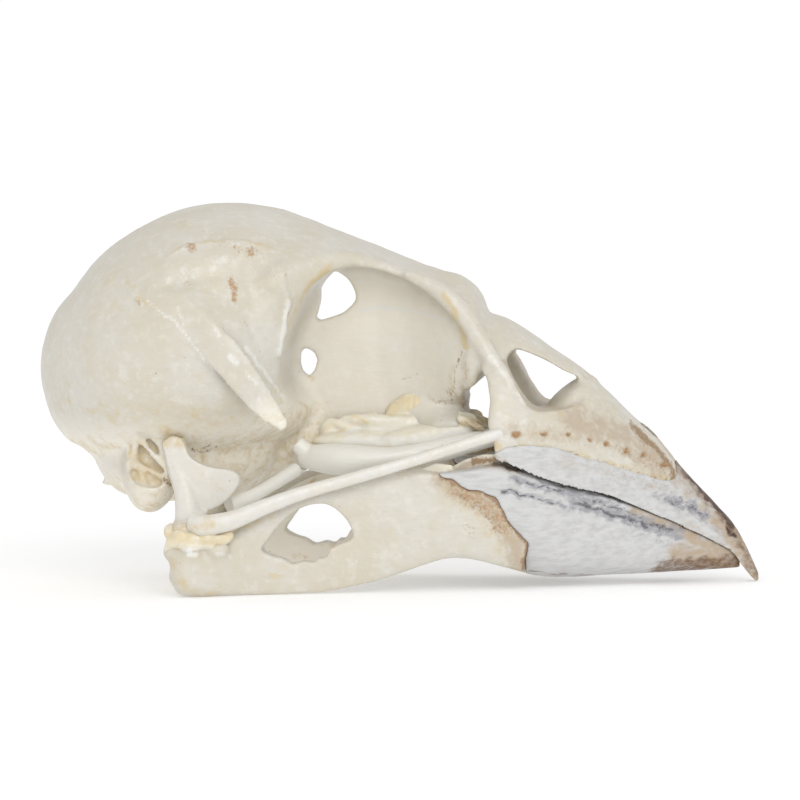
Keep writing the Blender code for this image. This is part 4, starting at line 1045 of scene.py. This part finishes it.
def markJaw(piece, marks, look):
    co, normal = pointsOf(piece)
    pushOut(piece, co, normal, bumps(co, look["grain"]))
    layMarks(piece, wander(co), marks)
    # painted light on the inner faces of the jaw's halves, which lie in shade
    paint(piece, "inner", np.clip(-1.4 * normal[:, 1] * np.sign(co[:, 1]), 0, 1))


markJaw(jawBone, jawMarks, lowerJaw)
finishPiece(jawBone, boneFinish, ["mandible"])
markHorn(lowerHorn, lowerHornMarks, flaking)
finishPiece(lowerHorn, hornFinish, ["lower_sheath"])


# small bones

smallBones = {
    "quadrate": ((-9.8, 6.7), (-9.4, 7.0), (-8.9, 6.8), (-8.6, 6.1), (-7.9, 5.7), (-7.0, 5.5), (-6.6, 5.3),
        (-6.5, 4.95), (-6.75, 4.5), (-7.3, 3.95), (-8.0, 3.6), (-8.2, 3.0), (-9.3, 3.0), (-9.15, 4.2),
        (-9.5, 5.5)),
    "quadratePost": ((-9.35, -5.45, 6.85), (-9.2, -5.5, 5.6), (-8.85, -5.6, 4.6), (-8.7, -5.7, 3.6),
        (-8.75, -5.75, 3.1)),
    "quadratePostRadii": (0.52, 0.44, 0.5, 0.6, 0.6),
    # place and half thickness of the quadrate's plate, and how much its front turns in from which x
    "quadratePlate": (-5.55, 0.34),
    "quadrateTurn": (0.45, -7.8),
    "quadrateEnds": (((-8.85, -5.75, 3.0), (0.62, 1.15, 0.46)), ((-8.3, -5.9, 3.35), (0.5, 0.6, 0.42))),
    "jugal": ((-8.5, -6.7, 3.35), (-7.9, -7.0, 3.2), (-6.7, -6.85, 3.4), (-5.4, -6.5, 3.9),
        (-3.7, -6.15, 4.5), (-1.5, -5.8, 5.1), (0.7, -5.45, 5.7), (2.8, -5.0, 6.32), (4.95, -4.45, 6.95)),
    "jugalRadii": (0.42, 0.46, 0.42, 0.36, 0.31, 0.28, 0.26, 0.26, 0.28),
    # x, top, widest level, underside, half width, distance aside
    "palatine": ((-4.3, 6.15, 5.75, 5.3, 0.4, 1.3), (-3.5, 6.3, 5.7, 5.1, 0.6, 1.7),
        (-2.4, 6.35, 5.65, 4.95, 0.85, 2.05), (-1.2, 6.25, 5.7, 5.1, 0.95, 2.2),
        (0.0, 6.2, 5.85, 5.3, 0.85, 2.25), (1.4, 6.4, 6.0, 5.5, 0.6, 2.2),
        (3.0, 6.75, 6.3, 5.9, 0.45, 2.15), (4.9, 7.05, 6.65, 6.3, 0.4, 2.0)),
    "secondBar": ((0.4, -2.6, 5.6), (2.2, -3.1, 5.95), (3.4, -3.3, 6.3), (4.9, -3.4, 6.7)),
    "secondBarRadii": (0.2, 0.34, 0.34, 0.3),
    "rodEnd": ((-4.35, -1.6, 6.35), (-4.0, -1.6, 6.05), (-3.4, -1.6, 5.7)),
    "rodEndRadii": (0.36, 0.38, 0.36),
    "pterygoid": ((-7.1, -4.3, 3.85), (-6.1, -3.5, 4.2), (-5.1, -2.5, 4.75), (-4.35, -1.6, 5.2)),
    "pterygoidRadii": (0.4, 0.3, 0.3, 0.32),
    "grain": (0.012, 2.2, 4),
    # CAD node, name, remesh size and rounds of smoothing, and how much of the paler painted light it shows
    # against the shade under the skull
    "pieces": (("quadrate", "quadrate", 0.06, 5, 0.0), ("palatine", "palatine", 0.06, 3, 1.0), ("jugal_bar",
        "jugalBar", 0.05, 2, 0.0), ("pterygoid", "pterygoid", 0.05, 2, 1.0)),
    "marks": {"quadrate": {"warmAndShade": [(((-9.8, 6.9), (-9.0, 6.8)), 0.75, 0.95), (((-9.3, 3.0), (-8.0, 3.2)),
        0.7, 0.9), (((-8.4, 5.6), (-7.0, 4.6)), 0.6, 0.3)]},
        "jugal_bar": {"warmAndShade": [(((-8.4, 3.1), (-7.6, 3.3)), 0.6, 0.8)], "paleAndHighlight": [(((-5.0, 4.2), (4.8, 6.9)),
            0.3, 0.5)]}},
}


def makeSmallBones(look):
    def palatinePlace(share, cosA, sinA):
        x, top, middle, under, half, aside = rowsAt(look["palatine"], share).T
        height = np.where(sinA > 0, top - middle, middle - under)
        return np.stack((x, -aside + half * cosA, middle + height * sinA), 1)

    body = slabForm(loopOf(look["quadrate"])[:-1], *look["quadratePlate"])
    turn, turnFrom = look["quadrateTurn"]
    for vert in body.verts:
        vert.co.y += turn * max(vert.co.x - turnFrom, 0.0)
    forms = {
        "quadrate": [body, rodForm(look["quadratePost"], look["quadratePostRadii"], 32, 50)]
        + [ballForm(*end) for end in look["quadrateEnds"]],
        "palatine": [
            skin(palatinePlace, 48, 80), rodForm(look["secondBar"], look["secondBarRadii"], 24, 40, 0.6),
            rodForm(look["rodEnd"], look["rodEndRadii"], 24, 20)],
        "jugal_bar": [rodForm(look["jugal"], look["jugalRadii"], 32, 140, 0.75)],
        "pterygoid": [rodForm(look["pterygoid"], look["pterygoidRadii"], 32, 60)]}
    for node, name, voxel, smooth, inner in look["pieces"]:
        right = pieceOf(name + "Right", forms[node])
        fuseForms(right, voxel, smooth)
        co, normal = pointsOf(right)
        pushOut(right, co, normal, bumps(co, look["grain"]))
        mirror = bmesh.new()
        mirror.from_mesh(right.data)
        left = pieceOf(name + "Left", [otherSide(mirror)])
        mirror.free()
        for piece, hand in ((right, "_right"), (left, "_left")):
            paint(piece, "inner", np.full(len(piece.data.vertices), inner))
            layMarks(piece, pointsOf(piece)[0][:, [0, 2]], look["marks"].get(node, {}))
            finishPiece(piece, denseFinish, [node + hand])


makeSmallBones(smallBones)


# dried tissue

tissue = {
    # golden fibres at the foot of the wall between the eyes: flat pads and the two ends they run between
    "pads": (((0.0, -0.4, 7.72), (0.55, 0.24, 0.36), -24.0), ((0.65, -0.4, 7.92), (0.6, 0.26, 0.46), -14.0),
        ((1.25, -0.4, 8.0), (0.42, 0.24, 0.52), 6.0)),
    "fibreTop": ((-0.2, -0.5, 8.0), (0.5, -0.6, 8.42), (1.45, -0.6, 8.5)),
    "fibreFoot": ((-0.5, -0.7, 7.2), (0.4, -0.85, 7.3), (1.6, -0.85, 7.4)),
    "fibres": 18,
    "fibreRadii": (0.05, 0.085, 0.06),
    # how far a fibre wanders along X, and bows outwards
    "fibreBend": (0.12, 0.08),
    "grains": ((0.07, 1.3, 21), (0.03, 4.0, 22)),
    "lumpFuse": (0.07, 16),
    "fuse": (0.05, 1),
    # soft folds: centre, radii and turn
    "folds": (((0.2, -0.7, 6.85), (3.7, 0.42, 0.72), -3.0), ((-2.2, -0.85, 7.0), (1.0, 0.3, 0.24), 20.0),
        ((-1.4, -0.75, 7.35), (0.7, 0.25, 0.16), -30.0), ((-0.9, -0.9, 7.0), (0.6, 0.3, 0.4), 30.0),
        ((-3.0, -0.8, 6.9), (0.4, 0.3, 0.4), 60.0), ((0.4, -1.0, 6.95), (1.7, 0.3, 0.5), -8.0),
        ((2.2, -1.3, 7.0), (1.5, 0.35, 0.55), -14.0), ((-1.4, -1.15, 6.4), (2.4, 0.6, 0.45), 0.0),
        ((1.4, -1.5, 6.6), (2.6, 0.6, 0.52), -8.0), ((-0.3, -1.0, 7.25), (2.2, 0.3, 0.3), 4.0)),
    "plug": (((3.2, -1.9, 7.3), (0.5, 0.3, 0.2), 24.0), ((3.7, -2.2, 7.05), (0.4, 0.25, 0.16), 24.0)),
    "joint": (((-9.45, -5.9, 2.85), (0.36, 0.5, 0.38), 0.0), ((-8.95, -6.5, 2.75), (0.42, 0.5, 0.4), 0.0),
        ((-8.35, -6.7, 2.62), (0.42, 0.42, 0.36), 0.0), ((-7.75, -6.75, 2.7), (0.42, 0.4, 0.34), -10.0),
        ((-7.1, -6.5, 2.62), (0.5, 0.4, 0.34), -20.0), ((-8.55, -6.85, 2.12), (0.36, 0.32, 0.28), 0.0),
        ((-9.45, -6.1, 2.1), (0.34, 0.45, 0.34), 0.0), ((-7.5, -6.6, 2.15), (0.42, 0.36, 0.26), 20.0),
        ((-8.4, -6.4, 2.5), (1.25, 0.62, 0.5), -3.0)),
    # small sheets at the corner of the mouth in side view: outline, depth and half thickness
    "sheets": ((((1.33, 5.35), (2.04, 5.65), (2.73, 5.55), (2.90, 5.16), (2.46, 4.94), (1.85, 5.08)), -4.45,
        0.06), (((2.42, 5.30), (3.31, 5.77), (4.10, 5.98), (4.75, 5.98), (4.84, 5.67), (4.09, 5.46),
        (3.21, 5.20), (2.59, 4.99)), -3.95, 0.06)),
    "marks": {
        "warmAndShade": [(((-0.2, 7.9), (0.5, 8.0), (1.5, 8.1)), 0.8, 1.4), (((-9.6, 2.7), (-6.9, 2.7)), 0.9, 0.95),
            (((3.0, 7.3), (3.9, 7.0)), 0.6, 1.0), (((-3.2, 6.9), (-2.8, 7.2)), 0.35, 0.7), (((-1.9, 7.5),
            (-1.2, 7.2)), 0.2, 0.9), (((-2.6, 6.8), (-1.6, 7.1)), 0.12, 0.7)],
        # the first line is a painted glint on the jaw joint's tissue
        "paleAndHighlight": [(((-8.6, 2.1), (-8.2, 2.1)), 0.25, 1.0), (((-2.0, 6.8), (-1.4, 7.0)), 0.25, 0.9),
            (((-2.0, 6.4), (1.0, 6.5), (3.4, 6.9)), 0.5, 0.8)],
        "stainAndShadow": [((((3.65, 5.64), (4.18, 5.72), (4.71, 5.76))), 0.28, 1.0)],
        "tanAndShade": [(((3.2, 7.2), (3.9, 7.0)), 0.35, 0.8), (((-8.0, 2.9), (-6.9, 2.75)), 0.14, 0.8),
            ((((2.60, 5.16), (3.30, 5.46), (4.09, 5.72), (4.71, 5.80))), 0.4, 0.9)]},
}


def makeTissue(look):
    shares = np.linspace(0, 1, look["fibres"])
    ends = zip(rowsAt(look["fibreTop"], shares), rowsAt(look["fibreFoot"], shares))
    wave, bow = look["fibreBend"]
    strands = []
    for number, (start, end) in enumerate(ends):
        bend = wave * noise.noise(Vector((number * 1.7, 0.0, 4.0)))
        middle = (start + end) / 2 + (bend, -bow, 0.0)
        strands.append(rodForm((tuple(start), tuple(middle), tuple(end)), look["fibreRadii"], 8, 16))
    lumps = [ballForm(*fold, 4) for key in ("folds", "plug", "joint") for fold in look[key]]
    piece = pieceOf("driedTissue", bothSides(lumps))
    fuseForms(piece, *look["lumpFuse"])
    co, normal = pointsOf(piece)
    pushOut(piece, co, normal, bumps(co, *look["grains"]))
    thin = [slabForm(*sheet) for sheet in look["sheets"]] + [ballForm(*pad) for pad in look["pads"]]
    joinForms(piece, pieceOf("thin", bothSides(strands + thin)))
    fuseForms(piece, *look["fuse"])
    layMarks(piece, wander(pointsOf(piece)[0]), look["marks"])
    finishPiece(piece, makeFinish("dried_tissue", tissueLook), [])


makeTissue(tissue)


# camera, light and floor

stage = {
    # camera, in metres and degrees
    "aim": (0.00011, 0.0, 0.0081),
    "azimuth": 5.0,
    "elevation": 4.0,
    "roll": 0.8,
    "distance": 0.42,
    "lens": 429.0,
    "sensor": 36.0,
    "clip": (0.01, 10.0),
    # light and floor
    "sky": 0.79,
    "floor": (0.755, 0.755, 0.755, 1),
    "floorGlow": 0.325,
    "floorHalf": 2.0,
    "key": 1.04,
    "keySoft": 36.0,
    "keyFrom": (0.2, -0.85, 0.44),
}


def makeCamera(look):
    azimuth, elevation, roll = (math.radians(look[key]) for key in ("azimuth", "elevation", "roll"))
    ahead = Vector((-math.sin(azimuth) * math.cos(elevation), math.cos(azimuth) * math.cos(elevation),
                    -math.sin(elevation)))
    right = Vector((math.cos(azimuth), math.sin(azimuth), 0))
    up = right.cross(ahead)
    tilted = right * math.cos(roll) - up * math.sin(roll)
    upright = right * math.sin(roll) + up * math.cos(roll)
    lens = bpy.data.cameras.new("camera")
    lens.lens = look["lens"]
    lens.sensor_width = look["sensor"]
    lens.clip_start, lens.clip_end = look["clip"]
    camera = bpy.data.objects.new("camera", lens)
    bpy.context.collection.objects.link(camera)
    place = Matrix((tilted, upright, -ahead)).transposed().to_4x4()
    place.translation = Vector(look["aim"]) - ahead * look["distance"]
    camera.matrix_world = place
    bpy.context.scene.camera = camera


def makeStage(look):
    floor = bmesh.new()
    bmesh.ops.create_grid(floor, x_segments=1, y_segments=1, size=look["floorHalf"])
    mesh = bpy.data.meshes.new("floor")
    floor.to_mesh(mesh)
    floor.free()
    ground = bpy.data.objects.new("floor", mesh)
    bpy.context.collection.objects.link(ground)
    paper = bpy.data.materials.new("paper")
    paper.use_nodes = True
    setSockets(paper.node_tree, paper.node_tree.nodes["Principled BSDF"], {
        "Base Color": look["floor"], "Roughness": 1.0, "Specular IOR Level": 0.0,
        "Emission Color": (1, 1, 1, 1), "Emission Strength": look["floorGlow"]})
    mesh.materials.append(paper)
    world = bpy.data.worlds.new("studio")
    world.use_nodes = True
    setSockets(world.node_tree, world.node_tree.nodes["Background"], {
        "Color": (1, 1, 1, 1), "Strength": look["sky"]})
    bpy.context.scene.world = world
    lamp = bpy.data.lights.new("softKey", "SUN")
    lamp.energy = look["key"]
    lamp.angle = math.radians(look["keySoft"])
    light = bpy.data.objects.new("softKey", lamp)
    light.rotation_euler = Vector(look["keyFrom"]).to_track_quat("Z", "Y").to_euler()
    bpy.context.collection.objects.link(light)
    bpy.context.scene.view_settings.view_transform = "Standard"


makeCamera(stage)
makeStage(stage)
print("stage set")
